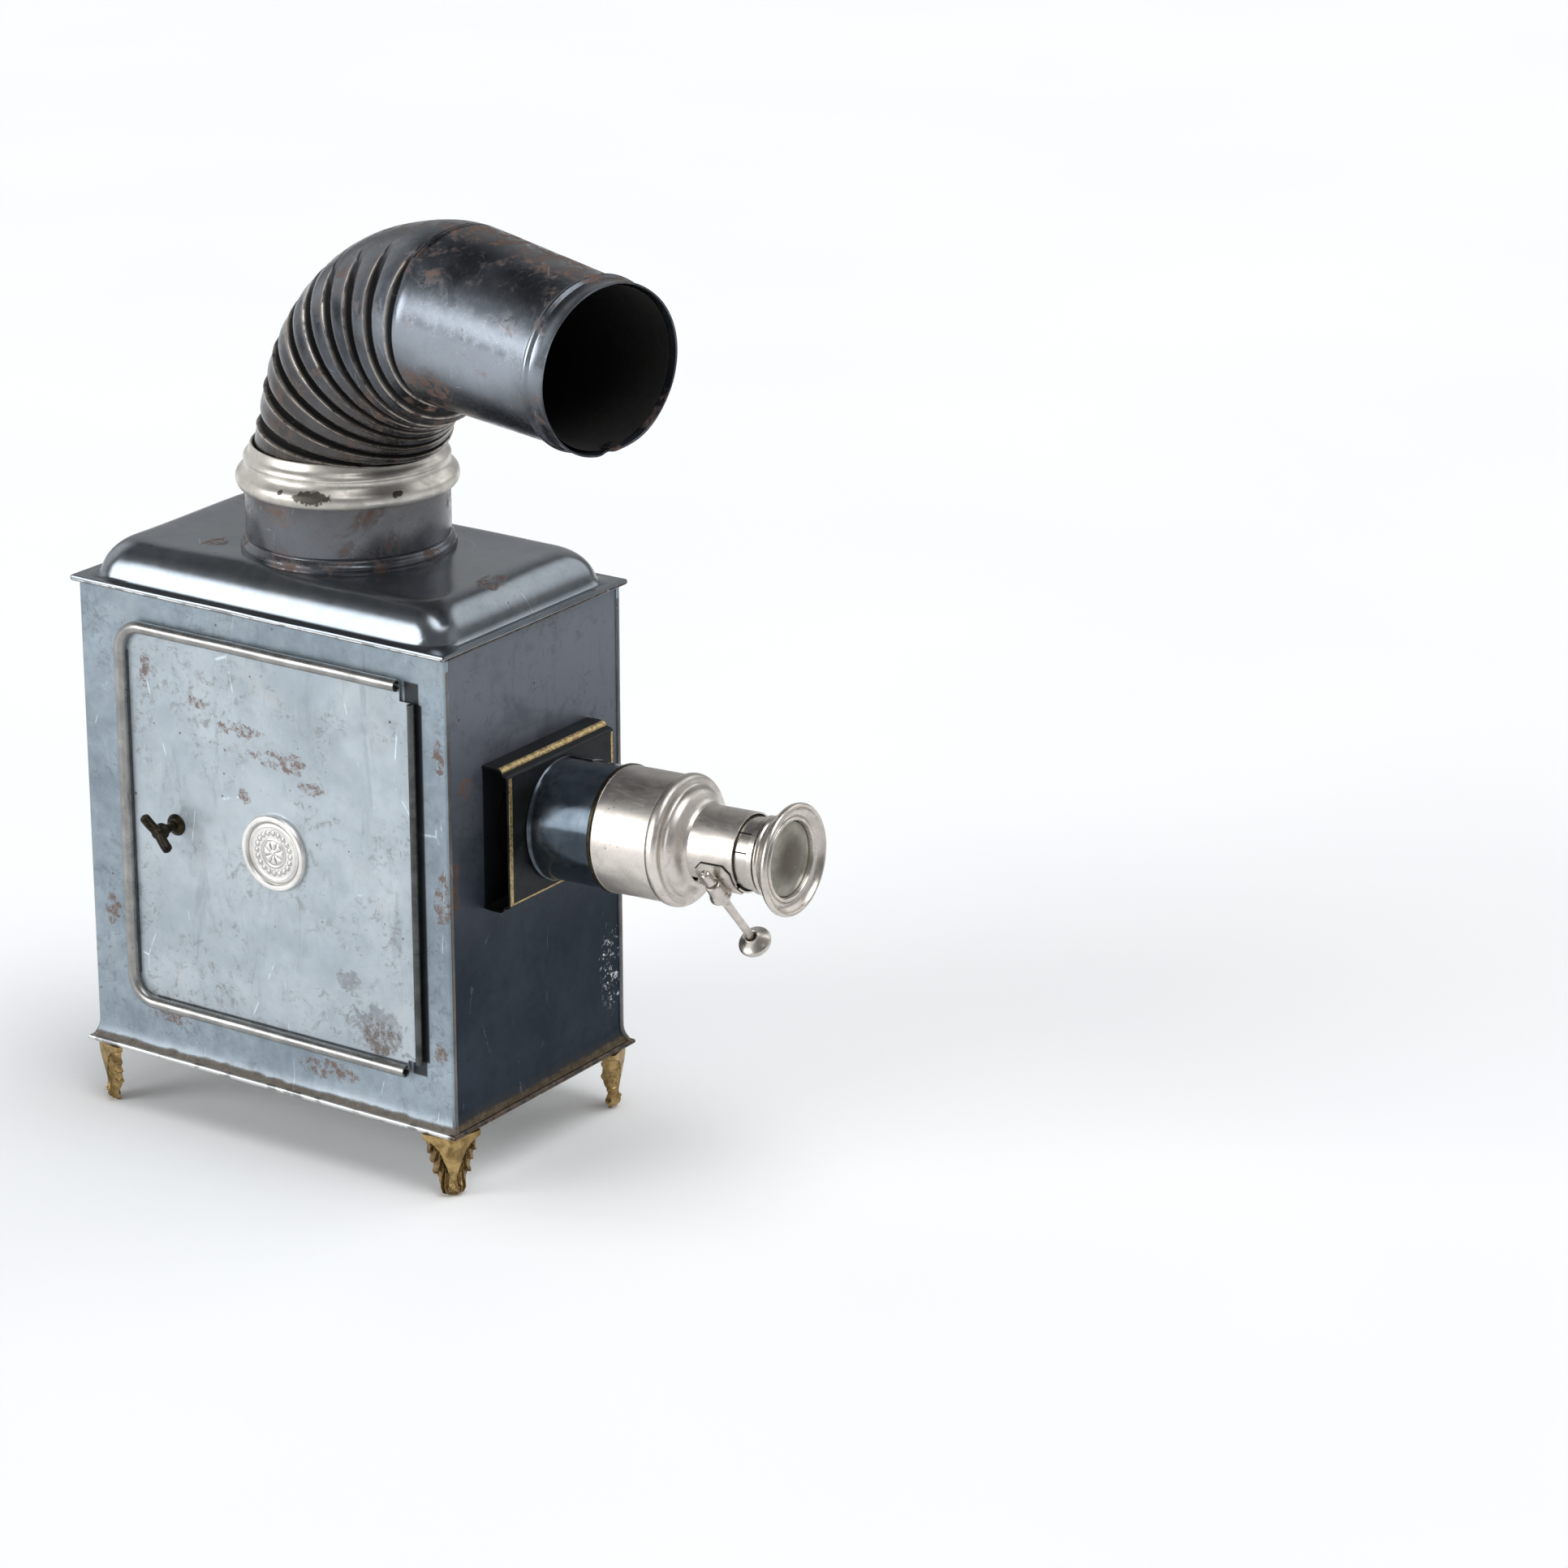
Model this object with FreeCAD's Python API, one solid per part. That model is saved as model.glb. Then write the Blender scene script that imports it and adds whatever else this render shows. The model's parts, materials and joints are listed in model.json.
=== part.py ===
import FreeCAD, Part
import math
import os

# Magic lantern with a paraffin lamp, sheet-metal lamp house, slide stage and objective.
# Millimetres. +X is the projection direction, the door is on the -Y side, +Z is up.
# The model is drawn about the middle of the lamp house and moved to its base origin on export.

V = FreeCAD.Vector
X, Y, Z = V(1, 0, 0), V(0, 1, 0), V(0, 0, 1)

# ---- driving dimensions -------------------------------------------------------------------
HOUSE_X = 178.0            # lamp house length, front wall to rear wall
HOUSE_Y = 112.6            # lamp house width, door wall to far wall
BASE_TOP = 28.3            # upper face of the base plate
TOP_Z = 221.5              # upper face of the top flange
SHEET = 0.8                # sheet iron
BASE_LIP = 3.3             # base plate beyond the walls
TOP_LIP = 2.6              # top flange beyond the walls
PLATE = 1.2                # base plate and top flange
HEM = 2.2                  # folded edges
DOME_H = 14.0              # pressed dome over the flange
DOME_INSET = 4.6           # flange showing round the dome
FLUE_X = 1.2               # chimney axis
PIPE_R = 39.7              # base pipe, outside
PIPE_TOP = 269.0
SPIGOT_R = 34.8            # elbow and its spigot, outside
RUN = 0.08                 # radial running clearance
ELBOW_YAW = -13.5          # elbow swung towards the door side
ELBOW_Z = 272.0            # bend begins
ELBOW_BEND_R = 68.0        # centre line of the bend
ELBOW_ANGLE = 93.0
ELBOW_SEGMENTS = 9
OUTLET_LEN = 83.0
MOUTH_R = 32.0
AXIS_Z = 142.3             # optical axis at the front wall
STAGE_Y = 68.0             # slide stage, across
STAGE_DEPTH = 12.6
OBJ_PITCH = 2.0            # the collar is soldered on a little nose-up
OBJ_YAW = 1.4
COLLAR_R = 23.85           # blued collar, outside
BARREL_WALL = 0.72
NOSE_R = 15.45
LENS_TUBE_R = NOSE_R - 0.6 - RUN
PINION_S = 92.0            # pinion, ahead of the front wall
PINION_MODULE = 0.5
PINION_TEETH = 10
RACK_LINE = 15.9           # rack pitch line, from the optical axis
PINION_TILT = 40.7         # pinion below the horizontal, on the door side
DOOR_LEFT, DOOR_HINGE_X = -67.0, 75.0
DOOR_BOTTOM, DOOR_TOP = 50.0, 206.4
DOOR_BEAD_R = 2.4
DOOR_CORNER = 10.8
HINGE_Y = -58.45
HINGE_LOW, HINGE_HIGH = 54.1, 199.8
HINGE_SPLITS = (99.9, 154.7)
PIN_R = 0.85
KNUCKLE_R = 1.45
KEY_X, KEY_Z = -43.0, 127.5
MEDAL_X, MEDAL_Z, MEDAL_R = 6.5, 126.3, 15.5
LAMP_X = -12.0
TANK_R = 33.0

HX, HY = HOUSE_X / 2, HOUSE_Y / 2
WALL_TOP = TOP_Z - PLATE
DOME_TOP = TOP_Z + DOME_H
DOOR_OUT, DOOR_IN = -57.6, -57.0      # outer and inner face of the door sheet
FLOOR = BASE_TOP - HEM                # underside of the base, top of the feet
FOOT_OUT_X, FOOT_OUT_Y = HX + 2.2, HY + 2.2
PINION_R = PINION_MODULE * PINION_TEETH / 2
PINION_AXIS_R = RACK_LINE + PINION_R
STAGE_FRONT = HX + STAGE_DEPTH

NODES = {}


# ---- helpers ------------------------------------------------------------------------------
def box(x0, x1, y0, y1, z0, z1):
    return Part.makeBox(x1 - x0, y1 - y0, z1 - z0, V(x0, y0, z0))


def rod(r, start, direction, length):
    return Part.makeCylinder(r, length, start, direction)


def tube(r_out, r_in, start, direction, length):
    return rod(r_out, start, direction, length).cut(rod(r_in, start, direction, length))


def turned(points, origin, axis):
    """A solid of revolution: points are (radius, distance along the axis)."""
    side = V(0, 1, 0) if abs(axis.x) > 0.5 else V(1, 0, 0)
    wire = Part.makePolygon([origin + side * r + axis * d for r, d in points + points[:1]])
    return Part.Face(wire).revolve(origin, axis, 360)


def rounded_rect(x0, x1, z0, z1, r, y):
    """A rectangle with rounded corners in the plane y, as a face."""
    lines = [(V(x0 + r, y, z0), V(x1 - r, y, z0)), (V(x1, y, z0 + r), V(x1, y, z1 - r)),
             (V(x1 - r, y, z1), V(x0 + r, y, z1)), (V(x0, y, z1 - r), V(x0, y, z0 + r))]
    centres = [(x1 - r, z0 + r), (x1 - r, z1 - r), (x0 + r, z1 - r), (x0 + r, z0 + r)]
    edges = []
    for i, (a, b) in enumerate(lines):
        edges.append(Part.makeLine(a, b))
        cx, cz = centres[i]
        mid = math.radians(-45 + 90 * i)
        via = V(cx + r * math.cos(mid), y, cz + r * math.sin(mid))
        edges.append(Part.Arc(b, via, lines[(i + 1) % 4][0]).toShape())
    return Part.Face(Part.Wire(edges))


def edges_where(shape, test):
    return [e for e in shape.Edges if test(e)]


def is_vertical(edge):
    ends = edge.Vertexes
    return len(ends) == 2 and abs(ends[0].X - ends[1].X) < 1e-6 and abs(ends[0].Y - ends[1].Y) < 1e-6


def lies_at(edge, z):
    return abs(edge.BoundBox.ZMin - z) < 1e-6 and abs(edge.BoundBox.ZMax - z) < 1e-6


# ---- lamp house ---------------------------------------------------------------------------
def side_wrap():
    outer = box(-HX, HX - SHEET, -HY, HY, BASE_TOP, WALL_TOP)
    inner = box(-HX + SHEET, HX, -HY + SHEET, HY - SHEET, BASE_TOP - 1, WALL_TOP + 1)
    opening = rounded_rect(-60, 68, 57, 199.5, 8, -HY - 1).extrude(V(0, 3, 0))
    return outer.cut(inner).cut(opening)


def front_panel():
    panel = box(HX - SHEET, HX, -HY, HY, BASE_TOP, WALL_TOP)
    for side in (-1, 1):
        y_out = side * (HY - SHEET)
        y_in = y_out - side * SHEET
        panel = panel.fuse(box(HX - 12, HX - SHEET, min(y_out, y_in), max(y_out, y_in),
                               BASE_TOP, WALL_TOP))
    return panel.cut(rod(25, V(HX - 2, 0, AXIS_Z), X, 4)).removeSplitter()


def base_plate():
    lx, ly = HX + BASE_LIP, HY + BASE_LIP
    plate = box(-lx, lx, -ly, ly, BASE_TOP - HEM, BASE_TOP)
    plate = plate.makeFillet(0.95, edges_where(plate, lambda e: not is_vertical(e)))
    plate = plate.cut(box(-lx + 5, lx - 5, -ly + 5, ly - 5, BASE_TOP - HEM - 1, BASE_TOP - PLATE))
    corner = 16
    for sx in (-1, 1):
        for sy in (-1, 1):
            pad = box(-corner, 0, -corner, 0, BASE_TOP - HEM, BASE_TOP - PLATE)
            if sx < 0:
                pad = pad.mirror(V(0, 0, 0), X)
            if sy < 0:
                pad = pad.mirror(V(0, 0, 0), Y)
            plate = plate.fuse(pad.translate(V(sx * (lx - 4.5), sy * (ly - 4.5), 0)))
    for i in range(5):
        for x in (-62, 48):
            plate = plate.cut(rod(3.5, V(x, -32 + 16 * i, 20), Z, 20))
    return plate.removeSplitter()


def top_plate():
    lx, ly = HX + TOP_LIP, HY + TOP_LIP
    flange = box(-lx, lx, -ly, ly, WALL_TOP, TOP_Z)
    hem = box(-lx, lx, -ly, ly, TOP_Z - HEM, TOP_Z)
    hem = hem.cut(box(-lx + 1.6, lx - 1.6, -ly + 1.6, ly - 1.6, 0, 300))
    dx, dy = lx - DOME_INSET, ly - DOME_INSET
    dome = dome_block(dx, dy, 12, TOP_Z - 1, DOME_TOP, 9)
    hollow = dome_block(dx - 1, dy - 1, 11, WALL_TOP - 1, DOME_TOP - 1, 8)
    plate = flange.fuse(hem).fuse(dome).cut(hollow)
    return plate.cut(rod(PIPE_R, V(FLUE_X, 0, 200), Z, 60)).removeSplitter()


def dome_block(dx, dy, corner, z0, z1, shoulder):
    block = box(-dx, dx, -dy, dy, z0, z1)
    block = block.makeFillet(corner, edges_where(block, is_vertical))
    return block.makeFillet(shoulder, edges_where(block, lambda e: lies_at(e, z1)))


def chimney_pipe():
    pipe = tube(PIPE_R, PIPE_R - SHEET, V(FLUE_X, 0, DOME_TOP - 2.5), Z, PIPE_TOP - DOME_TOP + 2.5)
    foot = turned([(PIPE_R - 0.1, 0), (PIPE_R + 2.1, 0), (PIPE_R + 2.1, 1.0), (PIPE_R + 1.0, 2.6),
                   (PIPE_R - 0.1, 2.9)], V(FLUE_X, 0, DOME_TOP), Z)
    return pipe.fuse(foot).removeSplitter()


# ---- feet: pressed brass corners, each a bent leaf with a scalloped edge -----------------------
def foot_profile():
    """Half a leaf: (distance from the corner, height), from the toe up to the base."""
    points = [(0, 0), (5.0, 0), (7.2, 3.0)]
    lobes = 3
    for i in range(lobes):
        low = 3.0 + i * 5.4
        out = 8.6 + i * 2.2
        points += [(out, low + 2.2), (out + 0.9, low + 3.6), (out + 0.3, low + 5.4)]
    points += [(14.6, FLOOR - 3.0), (15.2, FLOOR), (0, FLOOR)]
    return points


def foot(sx, sy):
    wall = 1.1
    pts = foot_profile()
    leaf_x = Part.Face(Part.makePolygon([V(-d, 0, h) for d, h in pts + pts[:1]])).extrude(V(0, -wall, 0))
    leaf_y = Part.Face(Part.makePolygon([V(0, -d, h) for d, h in pts + pts[:1]])).extrude(V(-wall, 0, 0))
    leaf = leaf_x.fuse(leaf_y).removeSplitter()
    if sx < 0:
        leaf = leaf.mirror(V(0, 0, 0), X)
    if sy < 0:
        leaf = leaf.mirror(V(0, 0, 0), Y)
    return leaf.translate(V(sx * FOOT_OUT_X, sy * FOOT_OUT_Y, 0))


# ---- slide stage --------------------------------------------------------------------------
def stage_outline(offset):
    """Half section of the stage box above the optical axis: (ahead of the wall, height)."""
    back, front, deep = 28.8 - offset, 26.2 - offset, STAGE_DEPTH - offset
    return [(0, back), (7.0, back), (9.2, back - 0.6), (10.2, front + 0.6), (deep - 0.8, front),
            (deep, front - 0.8)]


def slide_stage():
    def section(offset):
        half = stage_outline(offset)
        pts = half + [(s, -h) for s, h in reversed(half)]
        return [V(HX + s, 0, AXIS_Z + h) for s, h in pts]

    outer, inner = section(0), section(SHEET)
    ring = outer + list(reversed(inner)) + outer[:1]
    skin = Part.Face(Part.makePolygon(ring)).extrude(V(0, STAGE_Y, 0)).translate(V(0, -STAGE_Y / 2, 0))
    lip_low = box(HX, HX + SHEET, -STAGE_Y / 2, STAGE_Y / 2, AXIS_Z - 34, AXIS_Z - 28.8)
    lip_high = box(HX, HX + SHEET, -STAGE_Y / 2, STAGE_Y / 2, AXIS_Z + 28.8, AXIS_Z + 34)
    hole = rod(21.5, V(HX + 5, 0, AXIS_Z), X, 12)
    return skin.fuse(lip_low).fuse(lip_high).cut(hole).removeSplitter()


def slide_springs():
    """Two bowed leaf springs behind the front plate that press a slide back against the wall."""
    parts = []
    inside = STAGE_FRONT - SHEET
    for height in (-23.3, 23.3):
        chord, rise, thick = 26.0, 3.2, 0.35
        a, m, b = V(inside - 0.4, -chord, 0), V(inside - 0.4 - rise, 0, 0), V(inside - 0.4, chord, 0)
        shift = V(0.4 - 0.02, 0, 0)
        outline = [Part.Arc(a, m, b).toShape(), Part.makeLine(b, b + shift),
                   Part.Arc(b + shift, m + V(thick, 0, 0), a + shift).toShape(),
                   Part.makeLine(a + shift, a)]
        face = Part.Face(Part.Wire(outline))
        parts.append(face.extrude(V(0, 0, 2.4)).translate(V(0.02, 0, AXIS_Z + height - 1.2)))
    return Part.makeCompound(parts)


# ---- objective, drawn along its own axis and then set in the collar's slight tilt ----------------
def on_axis(shape):
    placed = shape.copy()
    placed.rotate(V(0, 0, 0), Y, -OBJ_PITCH)
    placed.rotate(V(0, 0, 0), Z, OBJ_YAW)
    return placed.translate(V(HX, 0, AXIS_Z))


def lens_collar():
    r = COLLAR_R
    profile = [(r - SHEET, 8), (r + 2.5, 8), (r + 2.5, 13.6), (r + 0.9, 15.0), (r, 17.6),
               (r, 56.0), (r - SHEET, 56.0)]
    return on_axis(turned(profile, V(0, 0, 0), X)).cut(
        box(HX - 20, STAGE_FRONT, -60, 60, 60, 220))


def barrel_tube():
    r_in = COLLAR_R + RUN
    r = r_in + BARREL_WALL
    profile = [(r_in, 41.2), (r, 41.2), (r, 67.0), (r_in, 67.0)]
    return on_axis(turned(profile, V(0, 0, 0), X))


def barrel_shoulder():
    r = COLLAR_R + RUN + BARREL_WALL
    outer = [(r, 67.0), (r + 0.9, 68.4), (r + 1.1, 70.4), (r + 0.4, 72.6), (r - 2.2, 73.6),
             (r - 3.4, 75.2), (r - 5.4, 77.0), (NOSE_R + 1.6, 78.4), (NOSE_R, 79.6)]
    inner = [(NOSE_R, 78.6), (NOSE_R + 1.2, 77.4), (r - 5.6, 76.0), (r - 3.8, 74.2),
             (r - 2.4, 72.6), (r - 0.72, 71.6), (r - 0.72, 67.0)]
    return on_axis(turned(outer + inner, V(0, 0, 0), X))


def barrel_nose():
    nose = tube(NOSE_R, NOSE_R - 0.6, V(77.8, 0, 0), X, 22.0)
    slot = pinion_frame(box(70, 110, -1.6, 1.6, 10, 20))
    return on_axis(nose.cut(slot))


def lens_tube():
    body = tube(LENS_TUBE_R, LENS_TUBE_R - 0.7, V(62.0, 0, 0), X, 42.5)
    slits = 6
    for i in range(slits):
        slit = box(90.0, 105.0, -0.4, 0.4, 0, 20)
        slit.rotate(V(0, 0, 0), X, 15 + 360 / slits * i)
        body = body.cut(slit)
    return on_axis(body)


def lens_disc(r, edge, rise, start, along=1):
    """A plano-convex lens: a disc with a spherical cap, its flat face at start."""
    sphere_r = (r * r + rise * rise) / (2 * rise)
    half = math.asin(r / sphere_r) / 2
    rim, apex = start + along * edge, start + along * (edge + rise)
    bulge = V(apex - along * sphere_r * (1 - math.cos(half)), sphere_r * math.sin(half), 0)
    edges = [Part.makeLine(V(start, 0, 0), V(start, r, 0)), Part.makeLine(V(start, r, 0), V(rim, r, 0)),
             Part.Arc(V(rim, r, 0), bulge, V(apex, 0, 0)).toShape(),
             Part.makeLine(V(apex, 0, 0), V(start, 0, 0))]
    return Part.Face(Part.Wire(edges)).revolve(V(0, 0, 0), X, 360)


def rear_lens():
    return on_axis(lens_disc(LENS_TUBE_R - 0.7, 1.8, 2.4, 65.0))


def rear_lens_ring():
    r = LENS_TUBE_R - 0.7
    return on_axis(tube(r, r - 1.4, V(63.0, 0, 0), X, 2.0))


def front_bezel():
    r = LENS_TUBE_R
    outer = [(r, 103.0), (16.4, 104.6), (16.6, 106.2), (15.9, 107.4), (17.4, 110.6), (19.6, 114.2),
             (21.2, 116.4), (21.7, 117.8), (21.0, 118.6), (19.4, 118.2), (17.0, 116.8), (14.3, 115.4)]
    inner = [(14.3, 113.4), (15.2, 113.4), (15.2, 106.0), (13.6, 106.0), (13.6, 104.5), (r, 104.5)]
    return on_axis(turned(outer + inner, V(0, 0, 0), X))


def front_lens():
    return on_axis(lens_disc(15.2, 1.8, 3.2, 108.2))


def front_lens_ring():
    return on_axis(tube(15.2, 13.8, V(106.0, 0, 0), X, 2.2))


# The pinion's own frame: local X along the optical axis, local Z radially out to the pinion,
# and local -Y along the pinion's shaft towards its knob.
KNOB_WAY = V(0, -1, 0)


def pinion_frame(shape):
    placed = shape.copy()
    placed.rotate(V(0, 0, 0), X, 90 + PINION_TILT)
    return placed


def rack_tooth_gap(s):
    m, depth = PINION_MODULE, 1.15
    low, high = 0.86 * m, 1.45 * m
    base = RACK_LINE + m - depth
    pts = [V(s - low, -5, base), V(s + low, -5, base), V(s + high, -5, RACK_LINE + m + 0.2),
           V(s - high, -5, RACK_LINE + m + 0.2)]
    return Part.Face(Part.makePolygon(pts + pts[:1])).extrude(V(0, 10, 0))


def focus_rack():
    pitch = math.pi * PINION_MODULE
    bar = box(83.0, 99.0, -1.2, 1.2, LENS_TUBE_R - 0.6, RACK_LINE + PINION_MODULE)
    bar = bar.cut(rod(LENS_TUBE_R, V(60, 0, 0), X, 60))
    for i in range(-5, 5):
        bar = bar.cut(rack_tooth_gap(PINION_S + i * pitch))
    return on_axis(pinion_frame(bar))


def focus_pinion():
    m = PINION_MODULE
    root, tip = PINION_R - 0.62, PINION_R + m * 0.84
    gear = rod(root, V(0, -1.2, 0), Y, 2.4)
    for i in range(PINION_TEETH):
        pts = [V(-0.52, -1.2, -root + 0.3), V(0.52, -1.2, -root + 0.3), V(0.40, -1.2, -PINION_R),
               V(0.16, -1.2, -tip), V(-0.16, -1.2, -tip), V(-0.40, -1.2, -PINION_R)]
        tooth = Part.Face(Part.makePolygon(pts + pts[:1])).extrude(V(0, 2.4, 0))
        tooth.rotate(V(0, 0, 0), Y, 360 / PINION_TEETH * i)
        gear = gear.fuse(tooth)
    gear = gear.cut(rod(1.2, V(0, -3, 0), Y, 6)).removeSplitter()
    return on_axis(pinion_frame(gear.translate(V(PINION_S, 0, PINION_AXIS_R))))


def pinion_housing():
    s, r = PINION_S, PINION_AXIS_R
    drum = turned([(0, -4.6), (3.4, -4.6), (4.2, -3.0), (4.6, 2.6), (5.6, 4.6), (0, 4.6)],
                  V(s, 0, r), KNOB_WAY)
    saddle = box(s - 7.0, s + 7.0, -4.6, 4.6, 12.0, NOSE_R + 1.6)
    saddle = saddle.fuse(box(s - 4.4, s + 4.4, -3.6, 3.6, 12.0, r))
    body = drum.fuse(saddle)
    body = body.cut(rod(NOSE_R, V(60, 0, 0), X, 60))
    body = body.cut(rod(PINION_R + 0.9, V(s, -1.6, r), Y, 3.2))
    body = body.cut(box(70, 110, -1.6, 1.6, 10, RACK_LINE + PINION_MODULE + 0.4))
    body = body.cut(rod(1.2 + 0.06, V(s, -20, r), Y, 40))
    return on_axis(pinion_frame(body.removeSplitter()))


def focus_shaft():
    s, r = PINION_S, PINION_AXIS_R
    shaft = turned([(0, -13.3), (1.0, -13.3), (1.9, -12.3), (1.9, -5.2), (1.2, -4.9), (1.2, 4.9),
                    (2.3, 5.2), (2.3, 7.0), (1.2, 8.4), (1.2, 33.4), (0, 33.4)], V(s, 0, r), KNOB_WAY)
    return on_axis(pinion_frame(shaft))


def focus_knob():
    knob = turned([(0, 33.4), (2.2, 33.4), (2.8, 34.6), (6.2, 37.4), (6.3, 38.4), (5.2, 40.0),
                   (3.0, 41.0), (0, 41.4)], V(PINION_S, 0, PINION_AXIS_R), KNOB_WAY)
    return on_axis(pinion_frame(knob))


# ---- condenser, behind the front panel ---------------------------------------------------------
CELL_R = 27.0


def at_axis_height(shape):
    return shape.translate(V(0, 0, AXIS_Z))


def condenser_cell():
    r = CELL_R
    profile = [(r - SHEET, 62), (r, 62), (r, 86.6), (r + 5, 87.0), (r + 5, HX - SHEET),
               (25.0, HX - SHEET), (25.0, 87.0), (r - SHEET, 87.0)]
    return at_axis_height(turned(profile, V(0, 0, 0), X))


def condenser_lens_front():
    return at_axis_height(lens_disc(CELL_R - SHEET, 2.0, 7.0, 87.0, -1))


def condenser_lens_rear():
    return at_axis_height(lens_disc(CELL_R - SHEET, 2.0, 7.0, 64.5, 1))


def condenser_ring():
    r = CELL_R - SHEET
    return at_axis_height(tube(r, r - 1.6, V(62.5, 0, 0), X, 2.0))


# ---- door -----------------------------------------------------------------------------------
def door_path():
    """Centre line of the curled bead: along the top, down the free side and back along the bottom."""
    y = DOOR_IN - DOOR_BEAD_R + 0.3
    c, k = DOOR_CORNER, DOOR_CORNER * (1 - math.sqrt(0.5))
    left, top, low = DOOR_LEFT, DOOR_TOP, DOOR_BOTTOM
    a, b = V(69, y, top), V(left + c, y, top)
    d, e = V(left, y, top - c), V(left, y, low + c)
    f, g = V(left + c, y, low), V(69, y, low)
    edges = [Part.makeLine(a, b), Part.Arc(b, V(left + k, y, top - k), d).toShape(),
             Part.makeLine(d, e), Part.Arc(e, V(left + k, y, low + k), f).toShape(),
             Part.makeLine(f, g)]
    return Part.Wire(edges), a


def bead(radius):
    path, start = door_path()
    ring = Part.Wire([Part.Circle(start, X, radius).toShape()])
    return path.makePipeShell([ring], True, False)


def door_panel():
    gap = 0.15
    sheet = rounded_rect(DOOR_LEFT, DOOR_HINGE_X + 30, DOOR_BOTTOM, DOOR_TOP, DOOR_CORNER, DOOR_OUT)
    sheet = sheet.extrude(V(0, DOOR_IN - DOOR_OUT, 0))
    sheet = sheet.cut(box(DOOR_HINGE_X, 140, -70, -50, 0, 300))
    low, high = HINGE_SPLITS
    for z0, z1 in ((DOOR_BOTTOM - 5, HINGE_LOW), (HINGE_HIGH, DOOR_TOP + 5)):
        sheet = sheet.cut(box(69, 90, -70, -50, z0, z1))
    sheet = sheet.cut(box(72.8, 90, -70, -50, low - gap, high + gap))
    panel = sheet.fuse(bead(DOOR_BEAD_R))
    for z0, z1 in ((HINGE_LOW, low - gap), (high + gap, HINGE_HIGH)):
        panel = panel.fuse(rod(KNUCKLE_R, V(DOOR_HINGE_X, HINGE_Y, z0), Z, z1 - z0))
    panel = panel.cut(rod(PIN_R + 0.05, V(DOOR_HINGE_X, HINGE_Y, 0), Z, 300))
    panel = panel.cut(bead(DOOR_BEAD_R - 0.7))
    panel = panel.cut(rod(1.66, V(KEY_X, -70, KEY_Z), Y, 20))
    return panel.removeSplitter()


def hinge_leaf():
    low, high = HINGE_SPLITS[0] + 0.15, HINGE_SPLITS[1] - 0.15
    plate = box(69.6, DOOR_HINGE_X, -56.8, -HY, low, high)
    web = box(DOOR_HINGE_X - 1.0, DOOR_HINGE_X, -57.8, -56.6, low, high)
    leaf = plate.fuse(web).fuse(rod(KNUCKLE_R, V(DOOR_HINGE_X, HINGE_Y, low), Z, high - low))
    return leaf.cut(rod(PIN_R, V(DOOR_HINGE_X, HINGE_Y, 0), Z, 300)).removeSplitter()


def hinge_pin():
    return rod(PIN_R, V(DOOR_HINGE_X, HINGE_Y, HINGE_LOW + 0.4), Z, HINGE_HIGH - HINGE_LOW - 0.8)


def medallion():
    r = MEDAL_R
    profile = [(0, 0), (r, 0), (r, 1.2), (r - 0.6, 2.1), (r - 1.6, 2.3), (r - 2.6, 1.9), (r - 3.0, 1.3),
               (r - 4.8, 1.3), (r - 5.2, 1.7), (r - 5.8, 1.7), (r - 6.2, 1.3), (0, 1.3)]
    return turned(profile, V(MEDAL_X, DOOR_OUT, MEDAL_Z), V(0, -1, 0))


def latch_washer():
    profile = [(1.66, 0), (4.8, 0), (4.6, 0.9), (3.0, 2.0), (1.66, 2.2)]
    return turned(profile, V(KEY_X, DOOR_OUT, KEY_Z), V(0, -1, 0))


def wing_key():
    stem = turned([(0, -4.9), (1.6, -4.9), (1.6, 9.6), (2.4, 10.4), (2.6, 13.4), (1.6, 14.4), (0, 14.4)],
                  V(KEY_X, DOOR_OUT, KEY_Z), V(0, -1, 0))
    y0, half = DOOR_OUT - 14.2, 8.8
    pts = [(-half, -1.6), (-half, 1.6), (-2.6, 2.4), (2.6, 2.4), (half, 1.6), (half, -1.6),
           (2.6, -2.4), (-2.6, -2.4)]
    wing = Part.Face(Part.makePolygon([V(a, y0, b) for a, b in pts + pts[:1]])).extrude(V(0, 2.8, 0))
    wing = wing.makeFillet(0.9, edges_where(wing, lambda e: abs(e.BoundBox.XMin) > half - 0.1
                                            and e.BoundBox.XLength < 0.01 and e.BoundBox.YLength > 1))
    wing.rotate(V(0, 0, 0), Y, 44)
    return stem.fuse(wing.translate(V(KEY_X, 0, KEY_Z))).removeSplitter()


def latch_tongue():
    plate = box(KEY_X - 4.2, KEY_X + 4.2, -55.1, -54.1, KEY_Z - 22.0, KEY_Z + 4.2)
    plate = plate.makeFillet(3.0, edges_where(plate, lambda e: e.BoundBox.YLength > 0.9
                                              and e.BoundBox.ZLength < 0.01
                                              and e.BoundBox.XLength < 0.01))
    return plate.cut(rod(1.6, V(KEY_X, -60, KEY_Z), Y, 10))


def latch_nut():
    return tube(3.0, 1.6, V(KEY_X, -54.1, KEY_Z), Y, 1.4)


# ---- chimney --------------------------------------------------------------------------------
def chimney_collar():
    r_in = PIPE_R + RUN
    sleeve = SPIGOT_R + RUN
    profile = [(r_in, 261.0), (42.4, 261.0), (43.2, 262.4), (43.4, 264.4), (42.6, 266.4),
               (40.9, 268.0), (39.9, 269.6), (39.7, 271.6), (38.9, 273.4), (37.9, 274.8),
               (37.6, 277.2), (36.9, 277.9), (36.2, 277.2), (36.4, 274.2), (36.2, 271.0),
               (sleeve, 270.4), (sleeve, 252.0), (sleeve - 1.4, 252.0), (sleeve - 1.4, 251.2),
               (sleeve + 0.9, 251.2), (sleeve + 0.9, PIPE_TOP + 0.05), (r_in, PIPE_TOP + 0.05)]
    return turned(profile, V(FLUE_X, 0, 0), Z)


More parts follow.
